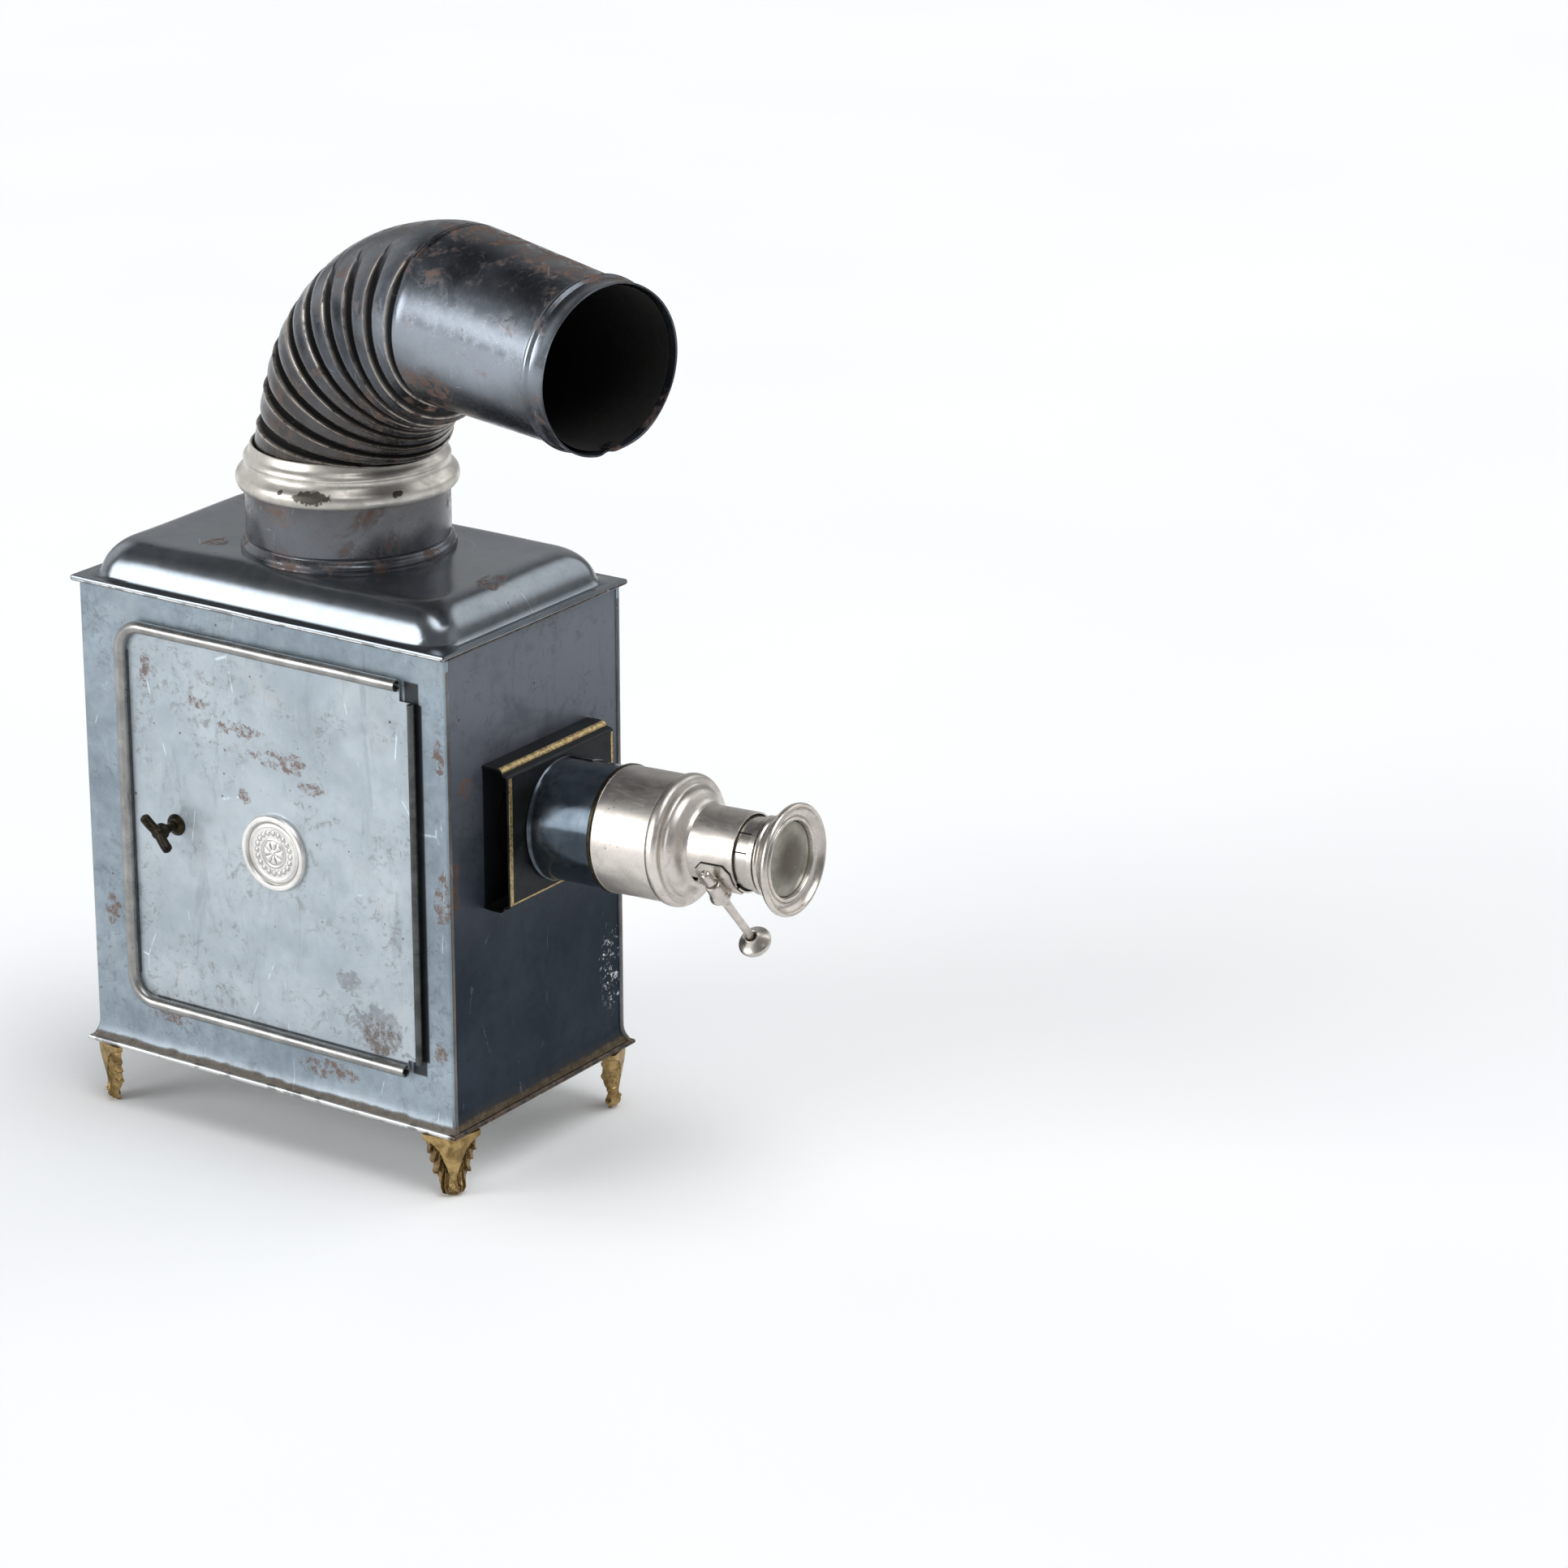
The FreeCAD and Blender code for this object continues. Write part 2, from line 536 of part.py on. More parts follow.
def elbow_ring(step, radius):
    """A circle of the bend, step segments along it, as a wire."""
    angle = math.radians(ELBOW_ANGLE * step / ELBOW_SEGMENTS)
    big = ELBOW_BEND_R
    centre = V(FLUE_X + big * (1 - math.cos(angle)), 0, ELBOW_Z + big * math.sin(angle))
    normal = V(math.sin(angle), 0, math.cos(angle))
    return Part.Wire([Part.Circle(centre, normal, radius).toShape()])


def bend_end():
    angle = math.radians(ELBOW_ANGLE)
    centre = V(FLUE_X + ELBOW_BEND_R * (1 - math.cos(angle)), 0, ELBOW_Z + ELBOW_BEND_R * math.sin(angle))
    return centre, V(math.sin(angle), 0, math.cos(angle))


def swung(shape):
    placed = shape.copy()
    placed.rotate(V(FLUE_X, 0, 0), Z, ELBOW_YAW)
    return placed


def elbow_solid(radius):
    rings = [elbow_ring(i, radius) for i in range(ELBOW_SEGMENTS + 1)]
    return Part.makeLoft(rings, True, True)


def chimney_elbow():
    spigot_z = 252.1
    bend = elbow_solid(SPIGOT_R).cut(elbow_solid(SPIGOT_R - SHEET))
    spigot = tube(SPIGOT_R, SPIGOT_R - SHEET, V(FLUE_X, 0, spigot_z), Z, ELBOW_Z - spigot_z)
    return swung(spigot.fuse(bend).removeSplitter())


def chimney_outlet():
    centre, along = bend_end()
    r0, r1, length = SPIGOT_R, MOUTH_R, OUTLET_LEN
    outer = [(r0, 0), (r1 + 0.1, length - 11.5), (r1 + 1.4, length - 10.2), (r1 + 1.5, length - 8.6),
             (r1 + 0.2, length - 7.2), (r1, length - 5.0), (r1 + 0.7, length)]
    inner = [(r - SHEET, d) for r, d in reversed(outer)]
    wire = Part.makePolygon([centre + V(0, 1, 0) * r + along * d for r, d in outer + inner + outer[:1]])
    return swung(Part.Face(wire).revolve(centre, along, 360))


# ---- lamp -----------------------------------------------------------------------------------
def lamp_axis(z):
    return V(LAMP_X, 0, z)


def lamp_guides():
    rails = [box(-58, 34, s * 36 - 1, s * 36 + 1, BASE_TOP, BASE_TOP + 7) for s in (-1, 1)]
    return Part.makeCompound(rails)


def lamp_tank():
    r, t = TANK_R, SHEET
    outer = [(0, 0), (r - 1.5, 0), (r, 1.5), (r, 27.0), (r - 6, 32.0), (13.0, 35.0)]
    inner = [(13.0, 35.0 - t), (r - 6.2, 32.0 - t), (r - t, 26.8), (r - t, 1.9), (r - 1.9, t), (0, t)]
    tank = turned(outer + inner, lamp_axis(BASE_TOP), Z)
    return tank.cut(rod(3.4, V(LAMP_X + 22, 0, BASE_TOP + 25), Z, 15))


def filler_cap():
    return turned([(0, 32.0), (3.3, 32.0), (3.3, 34.4), (5.0, 34.4), (5.0, 37.6), (4.2, 38.4), (0, 38.4)],
                  V(LAMP_X + 22, 0, BASE_TOP), Z)


def burner_collar():
    return turned([(12.2, 33.8), (13.0, 33.8), (13.0, 35.0), (14.4, 35.0), (14.4, 40.0), (12.2, 40.0)],
                  lamp_axis(BASE_TOP), Z)


def burner_body():
    profile = [(12.4, 40.0), (14.4, 40.0), (17.0, 44.0), (17.0, 60.0), (21.0, 62.0), (21.0, 66.0),
               (20.2, 66.0), (20.2, 62.8), (16.2, 60.6), (16.2, 44.4), (13.6, 40.8), (12.4, 40.8)]
    body = turned(profile, lamp_axis(BASE_TOP), Z)
    body = body.cut(rod(1.26, V(LAMP_X + 4.9, -40, BASE_TOP + 52), Y, 40))
    deck = box(LAMP_X - 16.4, LAMP_X + 16.4, -16.4, 16.4, BASE_TOP + 60.6, BASE_TOP + 61.4)
    deck = deck.common(rod(16.3, lamp_axis(BASE_TOP), Z, 80))
    window = box(LAMP_X - 2.3, LAMP_X + 2.3, -8.1, 8.1, BASE_TOP + 50, BASE_TOP + 70)
    body = body.fuse(deck.cut(window))
    for i in range(12):
        vent = rod(1.3, lamp_axis(BASE_TOP + 56.5), X, 20)
        vent.rotate(lamp_axis(0), Z, 15 + 30 * i)
        body = body.cut(vent)
    return body.removeSplitter()


def wick_tube():
    z0, z1 = BASE_TOP + 36, BASE_TOP + 100
    outer = box(LAMP_X - 2.3, LAMP_X + 2.3, -8.1, 8.1, z0, z1)
    inner = box(LAMP_X - 1.6, LAMP_X + 1.6, -7.4, 7.4, z0 - 1, z1 + 1)
    window = box(LAMP_X, LAMP_X + 4, -3.4, 3.4, BASE_TOP + 48, BASE_TOP + 56)
    return outer.cut(inner).cut(window)


def wick():
    return box(LAMP_X - 1.3, LAMP_X + 1.3, -7.0, 7.0, BASE_TOP + 8, BASE_TOP + 101.5)


def wick_wheel():
    z, x = BASE_TOP + 52, LAMP_X + 4.9
    wheel = rod(2.4, V(x, -2.5, z), Y, 5)
    for i in range(10):
        spike = box(x - 0.3, x + 0.3, -2.5, 2.5, z, z + 3.1)
        spike.rotate(V(x, 0, z), Y, 36 * i)
        wheel = wheel.fuse(spike)
    return wheel.cut(rod(1.2, V(x, -5, z), Y, 10)).removeSplitter()


def winder_shaft():
    return rod(1.2, V(LAMP_X + 4.9, -34.0, BASE_TOP + 52), Y, 37.5)


def winder_knob():
    knob = rod(6.0, V(LAMP_X + 4.9, -37.0, BASE_TOP + 52), Y, 3.0)
    for i in range(16):
        groove = rod(0.5, V(LAMP_X + 4.9 + 6.2, -40, BASE_TOP + 52), Y, 10)
        groove.rotate(V(LAMP_X + 4.9, 0, BASE_TOP + 52), Y, 22.5 * i)
        knob = knob.cut(groove)
    return knob


def lamp_glass():
    outer = [(20.0, 62.8), (20.0, 70.0), (22.0, 86.0), (22.0, 104.0), (17.0, 122.0), (15.0, 168.0)]
    inner = [(r - 1.2, z) for r, z in reversed(outer)]
    return turned(outer + inner, lamp_axis(BASE_TOP), Z)


def reflector():
    big, r, t = 90.0, 38.0, 0.8
    centre = V(-66 + big, 0, AXIS_Z)
    bowl = Part.makeSphere(big, centre).cut(Part.makeSphere(big - t, centre))
    return bowl.common(rod(r, V(-70, 0, AXIS_Z), X, 30))


def reflector_bracket():
    stem = box(-HX + SHEET, -66.9, -5, 5, AXIS_Z - 5, AXIS_Z + 5)
    foot_plate = box(-HX + SHEET, -HX + 2 * SHEET, -12, 12, AXIS_Z - 20, AXIS_Z + 20)
    stem = stem.fuse(foot_plate)
    return stem.fuse(rod(4, V(-70, 0, AXIS_Z), X, 4.0)).cut(
        Part.makeSphere(90.0, V(24, 0, AXIS_Z))).removeSplitter()


# ---- assembly -------------------------------------------------------------------------------
BUILDERS = [side_wrap, front_panel, base_plate, top_plate, chimney_pipe, slide_stage, slide_springs,
            lens_collar, barrel_tube, barrel_shoulder, barrel_nose, lens_tube, rear_lens,
            rear_lens_ring, front_bezel, front_lens, front_lens_ring, focus_rack, focus_pinion,
            pinion_housing, focus_shaft, focus_knob, condenser_cell, condenser_lens_front,
            condenser_lens_rear, condenser_ring, door_panel, hinge_leaf, hinge_pin, medallion,
            latch_washer, wing_key, latch_tongue, latch_nut, chimney_collar, chimney_elbow,
            chimney_outlet, lamp_guides, lamp_tank, filler_cap, burner_collar, burner_body,
            wick_tube, wick, wick_wheel, winder_shaft, winder_knob, lamp_glass, reflector,
            reflector_bracket]
FEET = {"foot_front_near": (1, -1), "foot_front_far": (1, 1),
        "foot_rear_near": (-1, -1), "foot_rear_far": (-1, 1)}


def build():
    for builder in BUILDERS:
        NODES[builder.__name__] = builder()
    for name, (sx, sy) in FEET.items():
        NODES[name] = foot(sx, sy)
    whole = Part.makeCompound(list(NODES.values())).BoundBox
    shift = V(-(whole.XMin + whole.XMax) / 2, -(whole.YMin + whole.YMax) / 2, -whole.ZMin)
    os.makedirs("parts", exist_ok=True)
    for name, shape in NODES.items():
        shape.translate(shift).exportStep("parts/%s.step" % name)
        print("%-22s solids %d valid %s volume %.1f" % (name, len(shape.Solids), shape.isValid(),
                                                        shape.Volume))
    print("shift", shift.x, shift.y, shift.z)
    print("size", whole.XLength, whole.YLength, whole.ZLength)


build()
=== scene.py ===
import json
import math

import bmesh
import bpy
from mathutils import Matrix, Vector, noise


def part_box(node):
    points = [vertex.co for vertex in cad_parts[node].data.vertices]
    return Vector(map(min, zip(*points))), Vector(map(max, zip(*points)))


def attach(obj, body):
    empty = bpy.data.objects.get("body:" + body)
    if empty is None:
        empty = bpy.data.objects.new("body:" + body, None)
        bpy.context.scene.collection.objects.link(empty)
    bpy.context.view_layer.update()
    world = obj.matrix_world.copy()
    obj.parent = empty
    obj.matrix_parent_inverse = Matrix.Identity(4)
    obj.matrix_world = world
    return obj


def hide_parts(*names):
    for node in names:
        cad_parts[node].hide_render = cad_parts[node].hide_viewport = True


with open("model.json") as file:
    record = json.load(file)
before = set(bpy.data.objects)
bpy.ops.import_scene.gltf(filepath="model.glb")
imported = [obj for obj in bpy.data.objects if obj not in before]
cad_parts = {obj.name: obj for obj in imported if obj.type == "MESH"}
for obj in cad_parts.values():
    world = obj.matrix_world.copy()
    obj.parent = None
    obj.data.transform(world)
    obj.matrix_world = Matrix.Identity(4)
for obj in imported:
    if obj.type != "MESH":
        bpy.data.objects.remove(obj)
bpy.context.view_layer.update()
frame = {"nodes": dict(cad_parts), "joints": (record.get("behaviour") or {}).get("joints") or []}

# Magic lantern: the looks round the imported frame. Shapes are worked out in millimetres from the
# middle of the lamp house at floor level, with +X the projection direction and the door on -Y,
# and are moved into the row frame by TO_ROW.

PI = math.pi
MM = 0.001
X, Y, Z = Vector((1, 0, 0)), Vector((0, 1, 0)), Vector((0, 0, 1))

wrap_lo, wrap_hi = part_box("side_wrap")
HOUSE = Vector(((wrap_lo.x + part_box("front_panel")[1].x) / 2, (wrap_lo.y + wrap_hi.y) / 2, 0))
TO_ROW = Matrix.Translation(HOUSE) @ Matrix.Scale(MM, 4)


def span(node):
    """A CAD node's lowest and highest corner, in millimetres from the middle of the house."""
    lo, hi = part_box(node)
    return (lo - HOUSE) / MM, (hi - HOUSE) / MM


def joint(name):
    """A joint's axis point, in millimetres from the middle of the house, and its direction."""
    found = [j for j in frame["joints"] if j["name"] == name][0]
    point = Vector(found.get("pos_m", (0, 0, 0)))
    return (point - HOUSE) / MM, Vector(found["axis"])


HX = span("front_panel")[1].x                 # outer face of the front panel
HY = span("side_wrap")[1].y                   # outer face of the far wall; the door wall is at -HY
BASE_TOP = span("side_wrap")[0].z
WALL_TOP = span("side_wrap")[1].z
DOME_TOP = span("top_plate")[1].z
UNDERSIDE = span("base_plate")[0].z           # of the base, where the feet end
AXIS_HEIGHT = (span("slide_stage")[0].z + span("slide_stage")[1].z) / 2      # the objective's axis
STAGE_Y, STAGE_OUT = span("slide_stage")[1].y, span("slide_stage")[1].x
FLUE_X = (span("chimney_pipe")[0].x + span("chimney_pipe")[1].x) / 2
DOOR_LO, DOOR_HI = span("door_panel")
DOOR_FACE = span("medallion")[1].y            # outer face of the door sheet
HINGE = joint("door_hinge")[0]
PIN_LOW, PIN_HIGH = span("hinge_pin")[0].z, span("hinge_pin")[1].z
KEY = sum(span("latch_washer"), Vector()) / 2
BEAD_END = 69.0                               # where the door bead's two ends are, near the hinge
SHEET = 0.8                                   # thickness of the sheet iron


# ---- meshes ---------------------------------------------------------------------------------
def skin(rows, close_rows=False, caps=False):
    """Points and faces of a skin stretched over rows of equally many points, each row a ring."""
    n = len(rows[0])
    points = [p for row in rows for p in row]
    faces = []
    for i in range(len(rows) if close_rows else len(rows) - 1):
        k = (i + 1) % len(rows)
        for j in range(n):
            m = (j + 1) % n
            faces.append((i * n + j, i * n + m, k * n + m, k * n + j))
    if caps:
        faces.append(tuple(range(n)))
        faces.append(tuple(range((len(rows) - 1) * n, len(rows) * n)))
    return points, faces


def plug_x(outline, ends):
    """A closed skin of an outline of (y, z) points, pushed from end to end along X."""
    return skin([[Vector((x, y, z)) for y, z in outline] for x in ends], caps=True)


def plug_y(outline, ends):
    """A closed skin of an outline of (x, z) points, pushed from end to end along Y."""
    return skin([[Vector((x, y, z)) for x, z in outline] for y in ends], caps=True)


def angles(steps):
    """Evenly spaced angles round a full turn."""
    return [2 * PI * k / steps for k in range(steps)]


def rounded(points, radius=0.4, steps=3, closed=True):
    """An outline whose corners are turned by short curves; a third number is a corner's own radius."""
    out = []
    for i, corner in enumerate(points):
        p = Vector(corner[:2])
        if not closed and i in (0, len(points) - 1):
            out.append(p)
            continue
        before, after = Vector(points[i - 1][:2]), Vector(points[(i + 1) % len(points)][:2])
        r = corner[2] if len(corner) > 2 else radius
        a = p + (before - p).normalized() * min(r, 0.45 * (before - p).length)
        b = p + (after - p).normalized() * min(r, 0.45 * (after - p).length)
        for k in range(steps + 1):
            t = k / steps
            out.append(a * (1 - t) ** 2 + p * 2 * t * (1 - t) + b * t * t)
    return out


def lathe(profile, steps=120, shape=None, start=0.0, turn=2 * PI):
    """A profile of (radius, distance) turned round local X; shape(radius, distance, angle) dents it."""
    whole = turn > 2 * PI - 1e-6
    rows = []
    for i in range(steps if whole else steps + 1):
        angle = start + turn * i / steps
        row = []
        for r, d in profile:
            if shape:
                r = shape(r, d, angle)
            row.append(Vector((d, r * math.cos(angle), r * math.sin(angle))))
        rows.append(row)
    return skin(rows, close_rows=whole, caps=not whole)


def sweep(path, section, up, closed=False):
    """A section of (across, up) points carried along a path whose up direction stays."""
    rows = []
    n = len(path)
    for i, p in enumerate(path):
        before = path[i - 1] if closed or i else p
        after = path[(i + 1) % n] if closed or i < n - 1 else p
        across = (after - before).normalized().cross(up).normalized()
        rows.append([p + across * u + up * v for u, v in section])
    return skin(rows, close_rows=closed, caps=not closed)


def circle(radius, steps=16, centre=(0, 0)):
    return [(centre[0] + radius * math.cos(a), centre[1] + radius * math.sin(a)) for a in angles(steps)]


def round_rect(x0, x1, y0, y1, r, corner_steps=8, side_steps=1):
    """Points round a rectangle with rounded corners, counter-clockwise from the lower right."""
    points = []
    centres = [(x1 - r, y0 + r), (x1 - r, y1 - r), (x0 + r, y1 - r), (x0 + r, y0 + r)]
    for i, (cx, cy) in enumerate(centres):
        arc = []
        for k in range(corner_steps + 1):
            angle = PI / 2 * (i - 1 + k / corner_steps)
            arc.append((cx + r * math.cos(angle), cy + r * math.sin(angle)))
        points += arc
        nx, ny = centres[(i + 1) % 4]
        out = PI / 2 * i
        end = (nx + r * math.cos(out), ny + r * math.sin(out))
        for k in range(1, side_steps):
            t = k / side_steps
            points.append((arc[-1][0] * (1 - t) + end[0] * t, arc[-1][1] * (1 - t) + end[1] * t))
    return points


def block(x0, x1, y0, y1, z0, z1, soft=0.3):
    """A box with softened corners and edges."""
    rows = []
    for z, inset in ((z0, soft), (z0 + soft, 0), (z1 - soft, 0), (z1, soft)):
        plan = round_rect(x0 + inset, x1 - inset, y0 + inset, y1 - inset, soft, 3)
        rows.append([Vector((x, y, z)) for x, y in plan])
    return skin(rows, caps=True)


def smooth_step(low, high, value):
    t = max(0.0, min(1.0, (value - low) / (high - low)))
    return t * t * (3 - 2 * t)


def unevenness(p, size, depth):
    """A gentle dent of the sheet at p, over hollows of that size."""
    return noise.noise(p / size) * depth


def add_object(name, data):
    """A new object of the scene."""
    obj = bpy.data.objects.new(name, data)
    bpy.context.scene.collection.objects.link(obj)
    return obj


def add_skins(bm, skins, place):
    """Puts skins into a bmesh, moved by place; a face that is there already is left out."""
    for points, faces in skins:
        verts = [bm.verts.new(place @ p if place else p) for p in points]
        for face in faces:
            try:
                bm.faces.new([verts[i] for i in face])
            except ValueError:
                continue


def piece(name, parts, body, material, stands_for=(), place=None, sharp=35, cut=None):
    """Makes one object of the skins in parts, puts it in the row frame and gives it its body."""
    bm = bmesh.new()
    add_skins(bm, parts, place)
    bmesh.ops.remove_doubles(bm, verts=bm.verts, dist=1e-4)
    bmesh.ops.dissolve_degenerate(bm, edges=bm.edges, dist=1e-5)
    bmesh.ops.recalc_face_normals(bm, faces=bm.faces)
    bmesh.ops.transform(bm, matrix=TO_ROW, verts=bm.verts)
    mesh = bpy.data.meshes.new(name)
    bm.to_mesh(mesh)
    bm.free()
    obj = add_object(name, mesh)
    if cut:
        cut_out(obj, cut)
    obj.data.polygons.foreach_set("use_smooth", [True] * len(obj.data.polygons))
    obj.data.set_sharp_from_angle(angle=math.radians(sharp))
    obj.data.materials.clear()
    obj.data.materials.append(material)
    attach(obj, body)
    if stands_for:
        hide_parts(*stands_for)
    return obj


def cut_out(obj, skins):
    """Cuts closed skins, in millimetres, out of an object."""
    bm = bmesh.new()
    add_skins(bm, skins, TO_ROW)
    bmesh.ops.recalc_face_normals(bm, faces=bm.faces)
    mesh = bpy.data.meshes.new("cutter")
    bm.to_mesh(mesh)
    bm.free()
    cutter = add_object("cutter", mesh)
    modifier = obj.modifiers.new("cut", "BOOLEAN")
    modifier.object = cutter
    modifier.solver = "EXACT"
    bpy.context.view_layer.update()
    graph = bpy.context.evaluated_depsgraph_get()
    result = bpy.data.meshes.new_from_object(obj.evaluated_get(graph))
    obj.modifiers.clear()
    obj.data = result
    bpy.data.objects.remove(cutter)


def shade_attribute(obj, points, name, rows, place=Matrix()):
    """Writes a value for each point of a skin's rows to the piece's vertex there; the rest stay 0."""
    def key(p):
        return tuple(round(c, 6) for c in p)

    layer = obj.data.attributes.new(name, "FLOAT", "POINT")
    known = {}
    for p, value in zip(points, (value for row in rows for value in row)):
        at = key(TO_ROW @ (place @ p))
        known[at] = max(value, known.get(at, 0.0))
    for vertex, item in zip(obj.data.vertices, layer.data):
        item.value = known.get(key(vertex.co), 0.0)


def axes_at(point, ahead, side, up):
    """A frame at a point, from the directions of its X, Y and Z."""
    return Matrix.Translation(point) @ Matrix((ahead, side, up)).transposed().to_4x4()


# ---- materials ------------------------------------------------------------------------------
def dim(tone, *factors):
    """A tone multiplied by one factor, or by one factor for each channel."""
    return tuple(c * f for c, f in zip(tone, factors * 3 if len(factors) == 1 else factors))


class Paint:
    """A node material worked out in the object's own millimetres, laid on coat by coat."""

    def __init__(self, name):
        self.material = bpy.data.materials.new(name)
        self.material.use_nodes = True
        self.tree = self.material.node_tree
        self.tree.nodes.clear()
        out = self.tree.nodes.new("ShaderNodeOutputMaterial")
        self.shader = self.tree.nodes.new("ShaderNodeBsdfPrincipled")
        self.link(self.shader.outputs[0], out.inputs["Surface"])
        coords = self.tree.nodes.new("ShaderNodeTexCoord")
        place = self.node("ShaderNodeVectorMath", operation="SCALE")
        self.link(coords.outputs["Object"], place.inputs[0])
        place.inputs["Scale"].default_value = 1 / MM
        self.here = place.outputs[0]
        self.color = None

    def link(self, a, b):
        self.tree.links.new(a, b)

    def node(self, kind, **settings):
        made = self.tree.nodes.new(kind)
        for key, value in settings.items():
            setattr(made, key, value)
        return made

    def put(self, socket, value):
        if isinstance(value, bpy.types.NodeSocket):
            self.link(value, socket)
        else:
            socket.default_value = value

    def put_all(self, made, **values):
        for key, value in values.items():
            self.put(made.inputs[key.replace("_", " ")], value)

    def along(self, axis):
        """The position along X, Y or Z, in the row frame's millimetres."""
        split = self.node("ShaderNodeSeparateXYZ")
        self.link(self.here, split.inputs[0])
        return split.outputs[axis]

    def stretched(self, scale, turn=(0, 0, 0)):
        """Coordinates scaled and turned, for streaks and scratches."""
        made = self.node("ShaderNodeMapping")
        self.put_all(made, Vector=self.here, Scale=scale, Rotation=turn)
        return made.outputs[0]

    def noise(self, size, detail=3.0, rough=0.55, swirl=0.0, where=None, seed=0.0):
        """Fractal noise with features of that size in millimetres."""
        made = self.node("ShaderNodeTexNoise", noise_dimensions="4D")
        self.put_all(made, Vector=where or self.here, W=seed, Scale=1 / size, Detail=detail,
                     Roughness=rough, Distortion=swirl)
        return made.outputs["Fac"]

    def cloud(self, low, high, size, detail=3.0, rough=0.55, swirl=0.0, where=None, seed=0.0):
        """Patches: 0 where the noise is under low and 1 where it is over high."""
        return self.between(self.noise(size, detail, rough, swirl, where, seed), low, high)

    def cells(self, feature, size, seed, where=None):
        """A distance within cells of that size: to their points or to their borders."""
        made = self.node("ShaderNodeTexVoronoi", voronoi_dimensions="4D", feature=feature)
        self.put_all(made, Vector=where or self.here, W=seed, Scale=1 / size)
        return made.outputs["Distance"]

    def specks(self, size, share, seed):
        """A round speck in each cell of that size: 1 at its middle and 0 outside."""
        return self.between(self.cells("F1", size, seed), share, share * 0.45)

    def cracks(self, size, width, where, seed):
        """Thin lines along the borders of cells, for scratches."""
        return self.between(self.cells("DISTANCE_TO_EDGE", size, seed, where), width, 0.0)

    def between(self, value, low, high, to_low=0.0, to_high=1.0):
        """Maps low..high smoothly to to_low..to_high."""
        made = self.node("ShaderNodeMapRange", interpolation_type="SMOOTHSTEP")
        self.put(made.inputs["Value"], value)
        for key, limit in (("From Min", low), ("From Max", high), ("To Min", to_low), ("To Max", to_high)):
            made.inputs[key].default_value = limit
        return made.outputs["Result"]

    def math(self, what, a, b):
        made = self.node("ShaderNodeMath", operation=what)
        self.put(made.inputs[0], a)
        self.put(made.inputs[1], b)
        return made.outputs[0]

    def plus(self, a, b):
        return self.math("ADD", a, b)

    def most(self, a, b):
        return self.math("MAXIMUM", a, b)

    def times(self, *values):
        out = values[0]
        for value in values[1:]:
            out = self.math("MULTIPLY", out, value)
        return out

    def mix(self, share, a, b):
        """A colour that goes from a to b as share goes from 0 to 1."""
        made = self.node("ShaderNodeMix", data_type="RGBA")
        self.put(made.inputs[0], share)
        for socket, tone in ((made.inputs[6], a), (made.inputs[7], b)):
            self.put(socket, tone if isinstance(tone, bpy.types.NodeSocket) else (*tone, 1))
        return made.outputs[2]

    def mix_value(self, share, a, b):
        """A number that goes from a to b as share goes from 0 to 1."""
        made = self.node("ShaderNodeMix", data_type="FLOAT")
        for socket, value in zip((made.inputs[0], made.inputs[2], made.inputs[3]), (share, a, b)):
            self.put(socket, value)
        return made.outputs[0]

    def start(self, share, a, b):
        """The first coat, mixed from two tones."""
        self.color = self.mix(share, a, b)

    def over(self, tone, *shares):
        """A coat over what is there already, as thick as the product of the shares."""
        self.color = self.mix(self.times(*shares), self.color, tone)

    def blob(self, centre, size, rag=0.5, grain=6.0, seed=0.0, soft=0.12):
        """A ragged patch round a point of the object, in millimetres from the house's middle."""
        moved = self.node("ShaderNodeVectorMath", operation="SUBTRACT")
        self.link(self.here, moved.inputs[0])
        moved.inputs[1].default_value = tuple((TO_ROW @ Vector(centre)) / MM)
        scaled = self.node("ShaderNodeVectorMath", operation="DIVIDE")
        self.link(moved.outputs[0], scaled.inputs[0])
        scaled.inputs[1].default_value = size
        away = self.node("ShaderNodeVectorMath", operation="LENGTH")
        self.link(scaled.outputs[0], away.inputs[0])
        ragged = self.plus(away.outputs["Value"],
                           self.times(self.noise(grain, 4, 0.65, 0.6, seed=seed), rag * 2))
        return self.between(ragged, 1.0 + rag + soft, 1.0 + rag - soft)

    def inside(self, bounds, soft):
        """1 inside a box given in millimetres from the house's middle, with soft edges."""
        shares = []
        for axis, (low, high), origin in zip("XYZ", bounds, HOUSE / MM):
            place = self.along(axis)
            shares.append(self.between(place, origin + low - soft, origin + low + soft))
            shares.append(self.between(place, origin + high + soft, origin + high - soft))
        return self.times(*shares)

    def attribute(self, name):
        return self.node("ShaderNodeAttribute", attribute_name=name).outputs["Fac"]

    def bump(self, height, depth):
        """Relief of that depth in millimetres, where height goes from 0 to 1."""
        made = self.node("ShaderNodeBump")
        self.put_all(made, Distance=depth * MM, Strength=1.0, Height=height)
        self.link(made.outputs[0], self.shader.inputs["Normal"])

    def finish(self, rough, metallic=0.0, **more):
        self.put_all(self.shader, Base_Color=self.color, Roughness=rough, Metallic=metallic, **more)
        return self.material


RUST = (0.18, 0.080, 0.038)
RUST_DARK = (0.075, 0.045, 0.03)
EARTH = (0.075, 0.050, 0.028)


